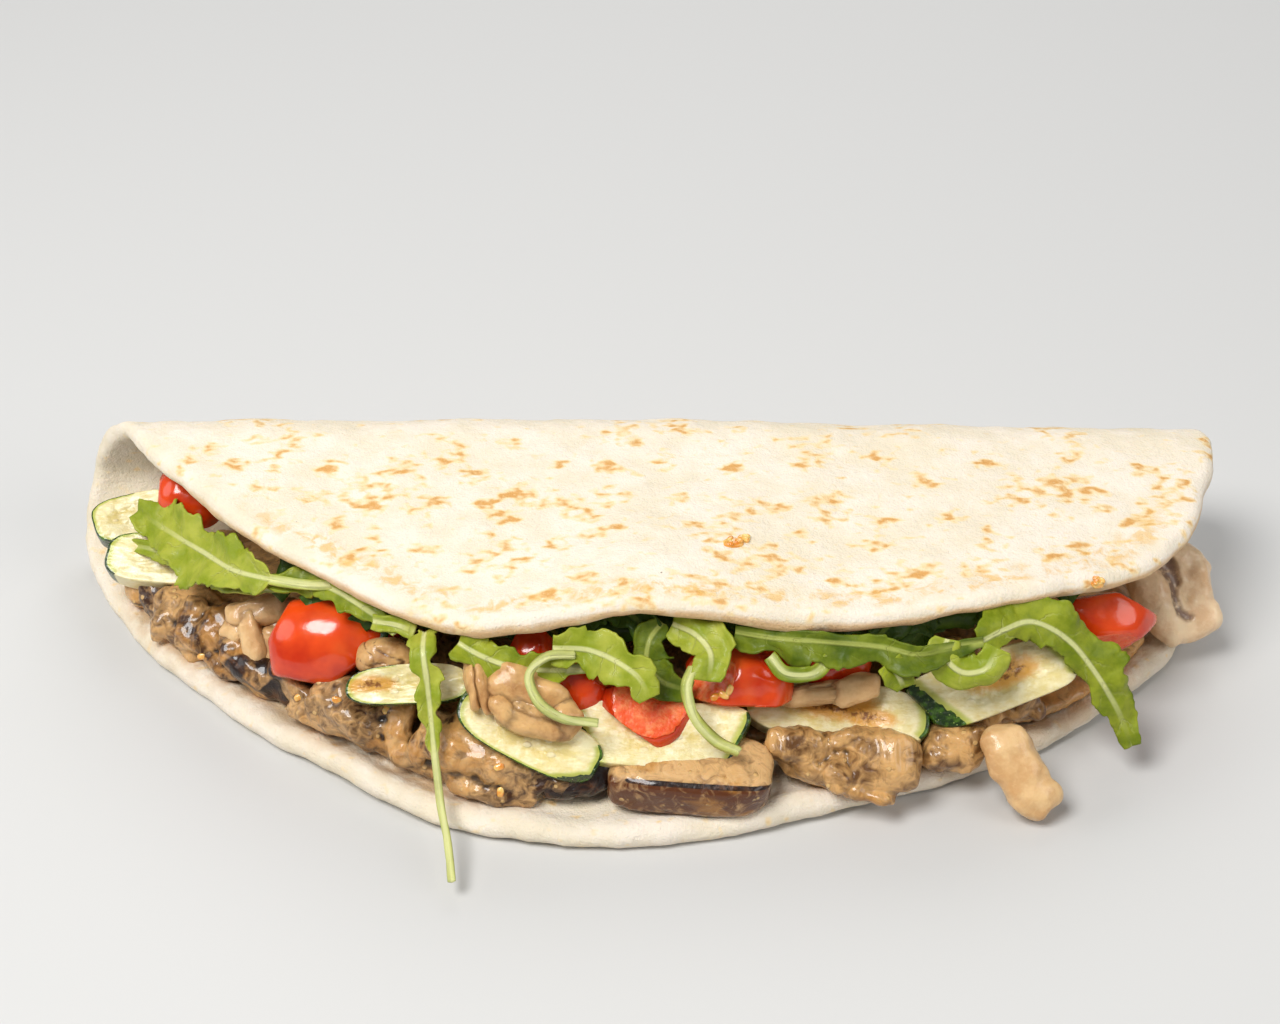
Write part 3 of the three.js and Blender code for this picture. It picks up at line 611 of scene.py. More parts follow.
def flatbread():
    """The folded bread; level is 1 on its faces and falls to 0 at the edge of its rim"""
    bread = started("uv_sphere", "folded_flatbread", segments=400, ring_count=200, radius=1)
    angle, side, out, rim_turn = as_disc(bread, 0.07)
    reach = np.where(out <= 1, RIM_START * out, RIM_START + (1 - RIM_START) * np.sin(rim_turn))
    level = np.cos(rim_turn)
    plan = BREAD_RADIUS * np.stack([np.cos(angle), np.sin(angle), 0 * angle], axis=1)
    ragged = 0.008 * grain(plan, 18, 1) + 0.003 * grain(plan, 5, 2)
    x, s = flat_place(reach * (1 + ragged * smooth(reach, 0.8, 1)), angle)
    flat = np.stack([x, s, 40 * side], axis=1)
    puff = 0.5 * grain(flat, 22, 3) + 0.3 * grain(flat, 7, 4) + 0.08 * grain(flat, 2.2, 5)
    slack = 1 + 0.2 * grain(plan, 26, 6) * smooth(reach, 0.86, 0.97)
    h = side * BREAD_THICKNESS / 2 * level * slack + puff * level * side
    h += 0.25 * unevenness(x / 9, s / 9, 0) * (side > 0) * level
    h += (0.45 * grain(plan, 9, 8) + 0.7 * grain(plan, 13, 14) * (side > 0)) * smooth(reach, 0.92, 1)
    swell = 0.75 + 0.6 * grain(plan, 20, 12)
    roll = (side > 0) * bell(reach, 0.968, 0.02) * smooth(-s, 0, 30) * swell
    h += roll - 0.5 * (side > 0) * bell(reach, 0.93, 0.018) * smooth(-s, 0, 30)
    put(bread, folded(x, s, h, reach))
    d = s - math.pi * fold_radius(x)
    toast = np.zeros(len(x))
    for spot_x, spot_d, width in TOASTED:
        width *= TOAST_SPREAD
        off_spot = ((x - spot_x) / width) ** 2 + ((d - spot_d) / (0.75 * width)) ** 2
        toast = np.maximum(toast, np.exp(-off_spot))
    faint = 0.55 * smooth(grain(flat, 11, 9), 0.05, 0.4)
    mark(bread, "toast", np.where(side < 0, np.maximum(toast, faint) * smooth(s, -5, 20), 0))
    rim_band = smooth(reach, 0.9, 0.94) * (1 - smooth(reach, 0.955, 0.98))
    mark(bread, "rim_toast", np.where(side < 0, rim_band * smooth(d, 15, 40), 0))
    mark(bread, "side", (side > 0) * level * (s < 20) * (1 - smooth(reach, 0.9, 0.95)))
    # Under the flap's rims: toasting, and painted shade on the downward side
    rim_toast_and_painted_shade = (side > 0) * smooth(reach, 0.94, 0.985) + (side < 0) * smooth(1 - level, 0.55, 0.95)
    mark(bread, "under", rim_toast_and_painted_shade * smooth(d, 5, 30))
    stain = np.zeros(len(x))
    stew_edge = closed_curve(AUBERGINE_PLAN, np.linspace(0, 1, 240, endpoint=False))
    floor = (s < 20) & (side > 0)
    gaps = np.linalg.norm(points_of(bread)[floor][:, None, :2] - stew_edge[None], axis=2).min(axis=1)
    stain[floor] = bell(gaps, 0, STAIN_WIDTH)
    mark(bread, "stain", stain)
    return bread


# Layers that run through the fold

AUBERGINE_PLAN = [
    (117, 14), (108, 33), (60, 36), (0, 36), (-60, 36), (-108, 34), (-116, 23), (-104, 5),
    (-83, -11.5), (-61, -29), (-34, -43.5), (-16, -33), (20, -28), (56, -26), (84, -22), (104, -8),
]
ROCKET_FRONT = [(-78, 12), (-60, -9), (-30, -22), (18, -23), (68, -18), (96, 8)]
HEAP_LEAVES = 46

# Chunks of stewed aubergine: place, size, turn, tilt, seed
CHUNKS = [
    ((-101, 10, 9.5), (22, 15, 10), -40, 30, 2), ((-84.5, -7.5, 10.5), (20, 10, 9), -35, 30, 5),
    ((-60, -24.5, 12), (24, 13, 12), -25, 30, 7), ((-33, -38.5, 12.5), (26, 12.5, 13), -12, 30, 9),
    ((-111, 18, 11), (13, 7, 7), -75, 40, 11), ((-107, 10, 11.5), (12, 6, 6), 65, 40, 12),
    ((-101, 5, 13), (13, 7, 7), 80, 40, 13), ((-95, 3, 13), (14, 8, 8), 60, 45, 14),
    ((-103.5, 6.5, 8), (14, 6, 5), -55, 20, 15), ((-92.5, -3.5, 8), (14, 6, 5), -35, 20, 17),
    ((-103, 11, 13.5), (10, 6, 5), 20, 30, 18), ((-81, -10, 8.5), (17, 6, 6), -42, 20, 20),
    ((-87, -4, 13), (14, 6, 6), -30, 40, 16), ((-73, -18, 11), (18, 6.5, 8), -48, 35, 19),
    ((-69, -22.5, 8.5), (17, 6, 6), -30, 20, 21), ((-67, -21, 13), (10, 6, 7), 75, 45, 22),
    ((-51, -29, 12.5), (14, 7, 9), 80, 45, 23), ((-56, -28.5, 8.5), (18, 6, 6), -28, 20, 25),
    ((-62, -25, 14), (12, 6, 7), 60, 40, 24), ((-56, -26, 15), (12, 5.5, 6), 85, 45, 26),
    ((-44, -33.5, 13.5), (14, 7, 9), 60, 40, 27), ((-44, -37, 8.5), (20, 6, 6), -24, 20, 29),
    ((-39, -36.5, 15), (12, 6, 7), 80, 45, 28), ((-26, -42, 10), (17, 8, 8), -35, 35, 31),
    ((-31, -43.5, 7.5), (21, 6.5, 6), -14, 20, 33), ((-18, -42, 11), (13, 7, 7), -40, 35, 35),
    ((-34, -41.5, 12), (14, 5.5, 6), -30, 40, 36), ((-77, -10.5, 15), (12, 6, 6), 50, 45, 37),
    ((-115.5, 23, 9), (11, 7, 7), -70, 40, 38),
]


def solid_copy(node, name):
    """A merged copy of a CAD node's mesh, in the measured frame"""
    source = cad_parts[node]
    copy = source.copy()
    copy.data = source.data.copy()
    bpy.context.scene.collection.objects.link(copy)
    copy.name = copy.data.name = name
    copy.parent = None
    copy.matrix_world = Matrix.Identity(4)
    copy.hide_render = copy.hide_viewport = False
    put(copy, points_of(copy) / MM + ORIGIN)
    alone(copy)
    bpy.ops.object.mode_set(mode="EDIT")
    bpy.ops.mesh.select_all(action="SELECT")
    bpy.ops.mesh.remove_doubles(threshold=1e-3)
    bpy.ops.object.mode_set(mode="OBJECT")
    return copy


def creased(piece, size, depth, seed):
    """Folds of stewed flesh: sharp valleys between soft ridges; returns how deep each point lies"""
    points, normals = points_of(piece), normals_of(piece)
    wander = np.stack([grain(points, 2.2 * size, seed + k) for k in (1, 2, 3)], axis=1)
    valley = np.abs(grain(points + 0.9 * size * wander, size, seed, 1))
    deep = np.exp(-((valley / 0.07) ** 2))
    swell = 0.6 * grain(points, 0.45 * size, seed + 5, 2)
    put(piece, points + normals * (depth * (swell - 0.7 * deep + 0.25))[:, None])
    return np.clip(0.8 * deep - 0.6 * swell, 0, 1)


def stewed(piece, seed):
    """Gives a chunk its soft folds across"""
    points, normals = points_of(piece), normals_of(piece)
    span = points - points.mean(axis=0)
    long_way = np.linalg.svd(span, full_matrices=False)[2][0]
    along = span @ long_way
    wave = np.sin(along * 2 * math.pi / (2.8 + 0.5 * (seed % 3)) + 2.5 * grain(points, 6, seed))
    valley = (1 - np.abs(wave)) ** 2
    swell = 0.8 * grain(points, 6, seed + 1)
    put(piece, points + normals * (swell - 0.7 * valley)[:, None])
    return piece


def aubergine_stew(finish, seeds):
    """One mass of soft pieces grown into each other, each with its own shade, from dark to pale"""
    bed = fused(solid_copy("aubergine_bed", "stewed_aubergine_core"), 1.2, 3)
    chunks = []
    for k, (at, size, turn, tilt, seed) in enumerate(CHUNKS):
        piece, _ = lump(f"stewed_chunk_{k}", at, size, turn, tilt, uneven=0.2, seed=seed, fine=4)
        chunks.append(stewed(piece, k))
    stew = fused(joined("stewed_aubergine", [bed, *chunks]), 0.72, 1)
    swollen(stew, (6, 0.6, 3), (2.6, 0.28, 4), (1.3, 0.08, 5))
    points = points_of(stew)
    # Painted shade in the valleys between the chunks
    mark(stew, "hollow", hollows(stew, 34, 0.7))
    draw = random.Random(5)
    middles = np.array([shape[0] for shape in CHUNKS], float)
    spans = np.array([sum(shape[1]) / 3 for shape in CHUNKS])
    shades = np.array([draw.choice((0.1, 0.3, 0.45, 0.6, 0.85)) for _ in CHUNKS])
    ambers = np.array([float(draw.random() < 0.4) for _ in CHUNKS])
    wander = 2.5 * np.stack([grain(points, 5, k) for k in (7, 8, 9)], axis=1)
    nearest = (np.linalg.norm((points + wander)[:, None] - middles, axis=2) / spans).argmin(axis=1)
    mark(stew, "tint", shades[nearest])
    mark(stew, "amber", ambers[nearest])
    mark(stew, "peel", bell(points[:, 0], -84, 13) * bell(points[:, 1], -13, 6) * (0.6 + grain(points, 6, 6)))
    served(seed_drops("seeds_on_stew", stew, STEW_SEEDS), seeds, "tomato", "aubergine_bed")
    return served(stew, finish, "aubergine", "aubergine_bed")


# Rocket leaves: spine is the midrib's line, blade where the blade starts and ends as shares of it,
# sides narrows the lower or upper half, and depth is that of the notches between the lobes

STEM = 1.1
LEAF_THICKNESS = 0.45
STALK_THICKNESS = 1.1
NARROWEST_LEAF = 3
LEAVES = {
    "rocket_left": {
        "spine": [(-62, -12, 37.5), (-70, -13, 37.8), (-79, -10, 37), (-88, -3.5, 34.5), (-97, 8, 31),
                  (-107, 19, 28.8), (-115, 27.5, 28)],
        "width": 15, "blade": (0.25, 1.03), "lobes": 1.2, "wave": 1.2, "look": "bright",
    },
    "rocket_left_low": {
        "spine": [(-73, -9, 34), (-86, -4, 30.5), (-98, 7, 26.5), (-111, 19.5, 23), (-122, 27, 19)],
        "width": 5.5, "blade": (0.15, 0.9), "lobes": 2, "look": "bright",
    },
    "rocket_under_flap": {
        "spine": [(-80, -9, 35.5), (-68, -12, 37), (-59, -18.5, 36.5), (-51, -25.5, 35)],
        "width": 6.5, "blade": (0, 0.95), "lobes": 3, "look": "mid",
    },
    "rocket_hanging": {
        "spine": [(-44.8, -28, 37), (-44.7, -34, 36.5), (-44.3, -36, 34), (-43.5, -39, 27), (-42.7, -44, 20),
                  (-41.9, -48, 14), (-41.3, -50.5, 10), (-39.6, -58.5, 7.5), (-38, -68.5, 5)],
        "width": 6.2, "blade": (-0.1, 0.48), "lobes": 3, "depth": 0.8, "stem": 0.75, "look": "bright",
    },
    "rocket_crossing": {
        "spine": [(-56, -23.5, 36.3), (-51, -25, 36.5), (-47, -27, 36.3)],
        "width": 4, "blade": (-0.2, 1.2), "lobes": 1, "look": "bright",
    },
    "rocket_middle_left": {
        "spine": [(-37.5, -31.5, 37), (-33, -34.3, 36), (-26, -35.8, 34), (-18.5, -35.5, 33),
                  (-9, -33.5, 32)],
        "width": 9, "blade": (-0.1, 0.8), "lobes": 2, "look": "mid",
    },
    "rocket_stem_loop": {
        "spine": [(-13.4, -35, 36.5), (-19, -36.5, 37.2), (-22.7, -40, 35.5), (-21, -44, 32),
                  (-15.5, -46, 29), (-8.6, -45.5, 27)],
        "width": 1.7, "stem": 0.7, "blade": (0, 1), "lobes": 0, "look": "bright",
    },
    "rocket_middle": {
        "spine": [(-18, -33.5, 37.3), (-10.3, -34, 37), (-4, -36, 35), (0, -38.5, 33), (2, -41, 30)],
        "width": 11, "blade": (-0.1, 1.05), "lobes": 2, "look": "bright",
    },
    "rocket_middle_dark": {
        "spine": [(4.6, -26, 38), (2, -29.5, 36), (1.5, -32.5, 32), (4.6, -34.5, 29), (10.8, -35.5, 27.5)],
        "width": 9, "blade": (0, 1.05), "lobes": 1.5, "look": "dark",
    },
    "rocket_drop": {
        "spine": [(6.7, -27, 38.5), (11.4, -30, 38), (14.5, -34.5, 36.5), (14, -38.5, 32.5)],
        "width": 10, "blade": (-0.1, 1.1), "lobes": 1, "look": "bright",
    },
    "rocket_stem_down": {
        "spine": [(11, -36.5, 34.5), (9.7, -40, 32.5), (10.8, -43.5, 28), (15, -45.5, 23), (20.5, -46, 20)],
        "width": 2.2, "stem": 0.85, "blade": (0, 1), "lobes": 0, "look": "bright",
    },
    "rocket_long": {
        "spine": [(19.7, -29.5, 38.3), (29, -31.5, 38), (39, -32.5, 38), (49.5, -33.5, 37.5), (57, -35, 36.8),
                  (62, -34, 37), (67, -32.5, 37), (71, -31.5, 37.3)],
        "width": 11, "blade": (-0.1, 0.96), "lobes": 2.5, "sides": (1, 0.4), "look": "dark",
    },
    "rocket_ring": {
        "spine": [(26.8, -34, 35.5), (30, -37, 33.5), (36, -37, 33.5), (39, -35, 35.8)],
        "width": 3.4, "blade": (-0.1, 1.1), "lobes": 1, "look": "mid",
    },
    "rocket_lobe": {
        "spine": [(51, -35.5, 35), (53, -37, 33), (54.5, -38, 30.3)],
        "width": 7.5, "blade": (-0.2, 1.1), "lobes": 0.6, "look": "mid",
    },
    "rocket_right": {
        "spine": [(70, -31.5, 37), (76, -28, 37.8), (82, -25, 37.3), (89.5, -26, 33.5), (96.5, -28, 25),
                  (101.5, -30, 17), (105, -32, 9)],
        "width": 12.5, "blade": (-0.1, 1.03), "lobes": 2.4, "depth": 0.4, "curl": -0.2, "sides": (0.65, 1.1),
        "look": "mid",
    },
    "rocket_curl": {
        "spine": [(63.5, -31.5, 38), (62.8, -34, 35.8), (66.5, -36, 32.8), (71.5, -35.5, 33.5),
                  (73.5, -33, 37)],
        "width": 9.5, "blade": (-0.1, 1.1), "lobes": 1, "curl": -0.2, "look": "bright",
    },
}


def leaf_reach(t, side, width, blade, lobes, stem=STEM, depth=0.5, sides=(1, 1)):
    """Half of a lobed leaf's width at t along it, side -1 or 1"""
    place = np.clip((t - blade[0]) / (blade[1] - blade[0]), 1e-4, 1 - 1e-4)
    body = np.sin(math.pi * place**0.85) ** 0.6
    turn = (lobes * place + 0.2 + 0.16 * side) % 1
    notch = np.exp(-(((turn - 0.62) / 0.15) ** 2)) * min(1, lobes)
    point = 0.82 + 0.36 * turn**1.5 * min(1, lobes)
    half = width / 2 * np.where(side > 0, sides[1], sides[0])
    reach = stem + (half - stem) * body * (point - depth * notch)
    inside = (t > blade[0]) & (t < blade[1])
    return np.where(inside, np.maximum(reach, 0.5 * stem), stem)


def leaf(name, spine, curl=0.15, wave=1.1, fine=1.0, **outline):
    """A thin wavy leaf along a spine, its edges curled by curl"""
    length = sum(np.linalg.norm(np.subtract(b, a)) for a, b in zip(spine, spine[1:]))
    stem = outline.get("stem", STEM)
    has_blade = outline["width"] > NARROWEST_LEAF
    steps = int(max(12, length * 2.8 * fine))
    across = 2 * int(max(3, outline["width"] * 0.8 * fine))
    piece = started("grid", name, x_subdivisions=steps, y_subdivisions=across, size=2)
    flat = points_of(piece)
    t, off = (flat[:, 0] + 1) / 2, flat[:, 1]
    middle, along = open_curve(spine, t)
    sideways = np.cross(LEAF_FACING / np.linalg.norm(LEAF_FACING), along)
    sideways /= np.linalg.norm(sideways, axis=1, keepdims=True)
    up = np.cross(along, sideways)
    reach = leaf_reach(t, np.sign(off), **outline)
    start = np.array(spine[0])
    edge = np.stack([start[0] + t * length, start[1] + 20 * np.sign(off), start[2] + 0 * t], axis=1)
    ragged = (grain(edge, 4.5, 1) + 0.6 * grain(edge, 1.8, 2)) * 0.3 * np.maximum(reach - stem, 0)
    lift = curl * reach * off**2 + wave * np.minimum(reach / 4, 1) * off * np.sin(0.35 * t * length + 2 * off)
    sheet = np.stack([start[0] + t * length, start[1] + off * reach, start[2] + 0 * t], axis=1)
    lift += 0.9 * np.minimum(reach / 3, 1) * grain(sheet, 5, 3) * (0.3 + np.abs(off))
    lift -= 0.25 * np.exp(-((off * reach / 0.6) ** 2))
    put(piece, middle + sideways * (off * (reach + ragged * np.abs(off)))[:, None] + up * lift[:, None])
    stalk = 1 - smooth(reach, 1.05 * stem, 1.7 * stem)
    mark(piece, "stalk", stalk if has_blade else np.ones(len(t)))
    mark(piece, "breadth", reach)
    thickness = LEAF_THICKNESS if has_blade else STALK_THICKNESS
    modified(piece, "SOLIDIFY", thickness=thickness, offset=0, use_even_offset=False)
    return piece


def rocket_heap(finish):
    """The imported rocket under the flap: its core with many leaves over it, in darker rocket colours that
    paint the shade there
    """
    core = solid_copy("rocket_bed", "rocket_heap_core")
    modified(core, "REMESH", mode="VOXEL", voxel_size=1.6, adaptivity=0)
    swollen(core, (6, 1.2, 3), (2.5, 0.5, 4))
    mark(core, "stalk", np.zeros(len(core.data.vertices)))
    mark(core, "breadth", np.full(len(core.data.vertices), 6.0))
    draw = random.Random(11)
    front = np.array(ROCKET_FRONT, float)
    leaves = []
    for k in range(HEAP_LEAVES):
        x = -76 + 168 * (k + draw.random()) / HEAP_LEAVES
        y = np.interp(x, front[:, 0], front[:, 1]) + draw.uniform(-1, 5)
        z = fold_height(x) - 6 - draw.uniform(0, 7) + flap_rise(x, FOLD_Y - y)
        heading = draw.choice((-1, 1)) * draw.uniform(5, 11)
        drop = draw.uniform(1, 5)
        spine = [(x, y + 5, z), (x + heading * 0.5, y, z + 1), (x + heading, y - 3, z - drop * 0.5),
                 (x + heading * 1.4, y - 4.5, z - drop - 1.5)]
        shape = {"width": draw.uniform(6, 9.5), "lobes": draw.choice((1.5, 2, 2.5)), "blade": (-0.1, 1.05)}
        shape["curl"] = draw.uniform(-0.3, 0.3)
        leaves.append(leaf(f"rocket_heap_leaf_{k}", spine, fine=0.8, **shape))
    return served(joined("rocket_heap", [core, *leaves]), finish, "rocket", "rocket_bed")


# Tomato wedges: angle is the share of the tomato that each has, and cuts are flat trims, each with
# its way out, its distance from the middle and how much flesh it shows

WEDGE_CORE = 0.16
TOMATOES = {
    "tomato_left_end": {
        "at": (-103, 27, 32), "length": 17, "depth": 8, "angle": 100, "turn": -30,
        "cuts": [((-0.9, -0.4, 0.2), 6.5, 1)],
    },
    "tomato_dome": {
        "at": (-66.5, -15.5, 24.2), "length": 32, "depth": 14, "angle": 112, "turn": 10,
        "cuts": [
            ((0.48, -0.88, 0.1), 7.6, 0.3), ((0.76, 0.64, 0.1), 11.2, 0.2), ((-1, 0.09, 0), 13.6, 0),
            ((-0.36, -0.93, 0.1), 9.4, 0), ((-0.76, 0.65, 0.1), 12, 0), ((0.75, 0.1, 0.66), 10.2, 0),
            ((0.1, 1, 0.1), 9.6, 0),
        ],
    },
    "tomato_deep": {"at": (-22.5, -28, 31.5), "length": 10, "depth": 7, "angle": 90, "turn": 10, "cuts": []},
    "tomato_middle_left": {
        "at": (-14, -31, 26), "length": 18, "depth": 9, "angle": 90, "turn": -25,
        "cuts": [((0.3, 0.9, 0.3), 4.2, 1)],
    },
    "tomato_middle": {
        "at": (1.7, -36, 23), "length": 22, "depth": 12, "angle": 80, "turn": -14,
        "cuts": [
            ((0, 0.22, 0.97), 2, 1), ((0, 1, 0), 4, 1), ((-0.65, 0.76, 0), 7.4, 0),
            ((-0.38, -0.93, 0), 5.4, 0), ((0.83, -0.55, 0), 8.6, 0), ((0.72, 0.69, 0), 8.8, 0),
        ],
    },
    "tomato_seeded": {
        "at": (21, -31, 28), "length": 24, "depth": 10.5, "angle": 95, "turn": -8, "roll": -24,
        "cuts": [((-0.55, -0.1, 0.83), 4, 0.9), ((0.5, 0.4, 0.75), 5.8, 0), ((0.2, -0.6, 0.75), 4.6, 0)],
    },
    "tomato_shaded": {"at": (41.2, -24, 26.5), "length": 17, "depth": 8, "angle": 90, "turn": 5, "cuts": []},
    "tomato_right": {
        "at": (99.5, -8.5, 25), "length": 29, "depth": 13.5, "angle": 95, "turn": -15,
        "cuts": [
            ((-0.41, 0.91, 0), 5.2, 0), ((0.24, 0.97, 0), 7, 0), ((0.78, -0.63, 0), 8.6, 0),
            ((0.3, -0.7, 0.65), 5.6, 0.5),
        ],
    },
}


def tomato_wedge(name, at, length, depth, angle, turn, cuts, roll=0):
    """Its skin bulges toward +Z, its two cut faces meet at a blunt core, and flat cuts trim it"""
    piece = started("cube", name, size=2)
    subdivided(piece, 27)
    unit = points_of(piece)
    x, y, z = unit[:, 0], unit[:, 1], unit[:, 2] / 2
    along = 0.6 * 0.96 * x + 0.4 * 0.96 * np.sin(x * math.pi / 2)
    turned = y * math.radians(angle) / 2
    out = WEDGE_CORE + (1 - WEDGE_CORE) * (z + 0.5)
    cut = smooth(np.abs(y), 0.93, 0.995) * (1 - smooth(z, 0.42, 0.495))
    dent = 0.12 * cut * (bell(x, -0.42, 0.26) + bell(x, 0.38, 0.26)) * bell(z, 0.05, 0.22)
    round_out = depth * out * np.sqrt(np.maximum(1 - np.abs(along) ** 2.6, 0.02))
    turned = turned * (1 - dent)
    points = np.stack([
        length / 2 * along, round_out * np.sin(turned), round_out * np.cos(turned) - 0.6 * depth,
    ], axis=1)
    uneven = 0.55 * grain(points, 9, length) + 0.2 * grain(points, 3.5, depth)
    points += points / np.linalg.norm(points, axis=1, keepdims=True) * uneven[:, None]
    for way, distance, flesh in cuts:
        way = np.array(way) / np.linalg.norm(way)
        excess = points @ way - distance + 0.15 * grain(points, 2.5, distance)
        points -= np.outer(np.maximum(excess, 0) * 0.97, way)
        cut = np.maximum(cut, flesh * smooth(excess, 0.0, 0.35))
    put(piece, laid(points, placing(at, turn=turn, roll=roll)))
    mark(piece, "cut", cut)
    return piece


def seed_drops(name, piece, places):
    """Flat tomato seeds, each on the foremost point of a piece at its place in the view"""
    drops = []
    points = points_of(piece)
    for k, (right, up, turn) in enumerate(places):
        aside = np.hypot(points[:, 0] - right, points @ UP_IN_VIEW - up)
        front = points @ OUT_OF_VIEW - 40 * np.maximum(aside - 0.7, 0)
        at = tuple(points[front.argmax()] - 0.1 * OUT_OF_VIEW)
        drops.append(lump(f"{name}_{k}", at, SEED_SIZE, turn, seed=k, uneven=0.12, fine=3)[0])
    return joined(name, drops)


# Seeds on a tomato wedge and on the stew: right and up in the view, and their turn
SEED_SIZE = (2.3, 1.5, 1.0)
WEDGE_SEEDS = [(15.6, 0.6, 20), (17, 0, -30), (18.4, 0.9, 70)]
STEW_SEEDS = [
    (-74.4, -1.5, 30), (-64.8, -1.2, -20), (-54.2, -3.3, 60), (-98.2, 5.8, 10), (-29.3, -19.9, 80),
    (-29.7, -14, 15),
]


# Mushrooms: one lump each, or several slices that lie right, up and out of its middle in the view,
# each with its length, width and thickness, and its turn

MUSHROOM_FOLD = 0.35
PALE_MUSHROOMS = ("mushroom_stem", "mushroom_left", "mushroom_strip")
MUSHROOMS = {
    "mushroom_left": {
        "at": (-83.5, -2.5, 17), "seed": 3,
        "slices": [
            ((0, 4.4, 0.5), (16, 6.5, 6), 8), ((-2.2, -1.6, 1.5), (12.5, 5.5, 6), -78),
            ((3.4, -3.6, 0.5), (10, 8, 6), -42), ((5, 1.2, -0.5), (8, 4, 5), -12),
            ((-5.5, 1.5, -1), (9, 6, 6), 60),
        ],
    },
    "mushroom_button": {"at": (-54.2, -22, 25), "size": (12, 9, 9), "seed": 6},
    "mushroom_folded": {
        "at": (-23.7, -38.5, 26.5), "seed": 8,
        "slices": [
            ((-11, 4.2, 0.5), (10, 2.8, 6.5), -82), ((-8.6, 2.8, 0), (11.5, 2.8, 7), -76),
            ((0.6, 2.6, 0.8), (18, 10, 6.5), -24), ((1.2, -3.6, 1.4), (16.5, 5.6, 6.5), -16),
            ((7.8, -3.0, 0.6), (8, 8.5, 7), -42), ((-4.4, -1.2, 1.6), (8.5, 4.2, 6), -52),
            ((2.2, -1.2, 1.8), (12, 3.4, 6), -20),
        ],
    },
    "mushroom_small": {"at": (16, -29.5, 21), "size": (10, 7, 6), "seed": 11},
    "mushroom_strip": {
        "at": (39.7, -29.5, 21.5), "seed": 12,
        "slices": [
            ((-1, -0.2, 0), (20, 4.4, 5.5), 7), ((5.5, 0.8, 0.8), (11, 6.6, 5.5), 16),
            ((-3, 0.9, -0.6), (13, 3.4, 5), 12),
        ],
    },
    "mushroom_back": {"at": (64, -18.5, 24), "size": (14, 6, 6), "turn": 10, "seed": 14},
    "mushroom_right_strip": {
        "at": (81, -13, 21), "size": (20, 8, 5.5), "turn": 20, "square": 0.6, "seed": 15,
    },
    "mushroom_stem": {
        "at": (80, -41, 10.5), "seed": 17, "square": 0.3,
        "slices": [
            ((-2.4, 3.4, 0), (13, 11.5, 7.5), -68), ((0.6, -1.6, 0.4), (15, 10, 7.5), -62),
            ((2.6, -5.2, 0.2), (10.5, 10.5, 7), -40),
        ],
    },
}

# The cut slice lies about this place; its dark gills run along a line right and up of it in the view
MUSHROOM_SLICE = {
    "at": (119, 13, 18.5), "seed": 19, "square": 0.2,
    "slices": [
        ((-2, -4, 1), (24, 11, 8), -62), ((2, 6, 0), (17, 7.5, 7.5), -24),
        ((6.8, 0.5, 0), (15, 6.5, 7.5), -78), ((3.6, 1, -0.4), (12, 8, 7), -60),
        ((6.5, -8.5, 0), (13, 9.5, 7.5), 25),
    ],
}
GILL_LINE = [
    (-5.4, 7.6), (-3.4, 6.4), (-1.2, 4.4), (0.2, 2), (1.2, -0.8), (1.4, -3.4), (2.4, -6), (4.3, -7.7),
]


def mushroom_lump(name, **shape):
    """A small piece with one soft fold"""
    piece, _ = lump(name, **shape)
    deep = creased(piece, 5, MUSHROOM_FOLD, shape["seed"])
    # Painted shade in the fold's valleys, for the finish to darken
    mark(piece, "hollow", deep * MUSHROOM_FOLD / 0.6)
    mark(piece, "gill", np.zeros(len(deep)))
    return piece


def meeting(piece, others):
    """How near each point of a slice lies to its neighbours: 1 where they meet"""
    around = np.vstack([points_of(other) for other in others])
    tree = kdtree.KDTree(len(around))
    for k, point in enumerate(around):
        tree.insert(point, k)
    tree.balance()
    return smooth([tree.find(point)[2] for point in points_of(piece)], 0.85, 0.3)


def mushroom_folded(name, **shape):
    """Several slices folded over each other, with painted shade in the creases between them"""
    pieces = slabs(name, **shape)
    for piece in pieces:
        # Painted shade where the slices meet
        mark(piece, "hollow", 0.33 * meeting(piece, [other for other in pieces if other is not piece]))
        mark(piece, "gill", np.zeros(len(piece.data.vertices)))
    return joined(name, pieces)


def mushroom_stem(name, **shape):
    """A stem that is cut off: slices grown into one smooth piece"""
    piece = fused(joined(name, slabs(name, **shape)), 0.4, 12)
    # Painted shade in the hollows between the grown-together slices
    mark(piece, "hollow", hollows(piece, 12, 0.4))
    mark(piece, "gill", np.zeros(len(piece.data.vertices)))
    return piece


def mushroom_slice(name):
    """Cap and stem of one cut slice, with its dark line of gills"""
    piece = fused(joined(name, slabs(name, **MUSHROOM_SLICE)), 0.42, 14)
    points = points_of(piece)
    own = points - np.array(MUSHROOM_SLICE["at"])
    seen = np.stack([own[:, 0], own @ UP_IN_VIEW], axis=1) + 0.4 * grain(points, 4, 3)[:, None]
    line, _ = open_curve([(right, up, 0) for right, up in GILL_LINE], np.linspace(0, 1, 80))
    aside = np.linalg.norm(seen[:, None] - line[None, :, :2], axis=2).min(axis=1)
    width = 1.5 + 0.9 * smooth(seen[:, 1], -4, 6) + 0.6 * grain(points, 3, 4)
    gill = smooth(aside / width, 1.1, 0.4) * (own @ OUT_OF_VIEW > 0)
    put(piece, points - normals_of(piece) * (0.8 * gill)[:, None])
    swollen(piece, (6, 0.5, 21), (2.2, 0.12, 22))
    # Painted shade in the hollows of the slice
    mark(piece, "hollow", 0.6 * hollows(piece, 12, 0.45))
    mark(piece, "gill", gill)
    return piece


# Zucchini slices: skin is where the rim has it, in degrees round the slice; char is the browned
# place on its face, x and y from its middle as shares of its half size, and how wide

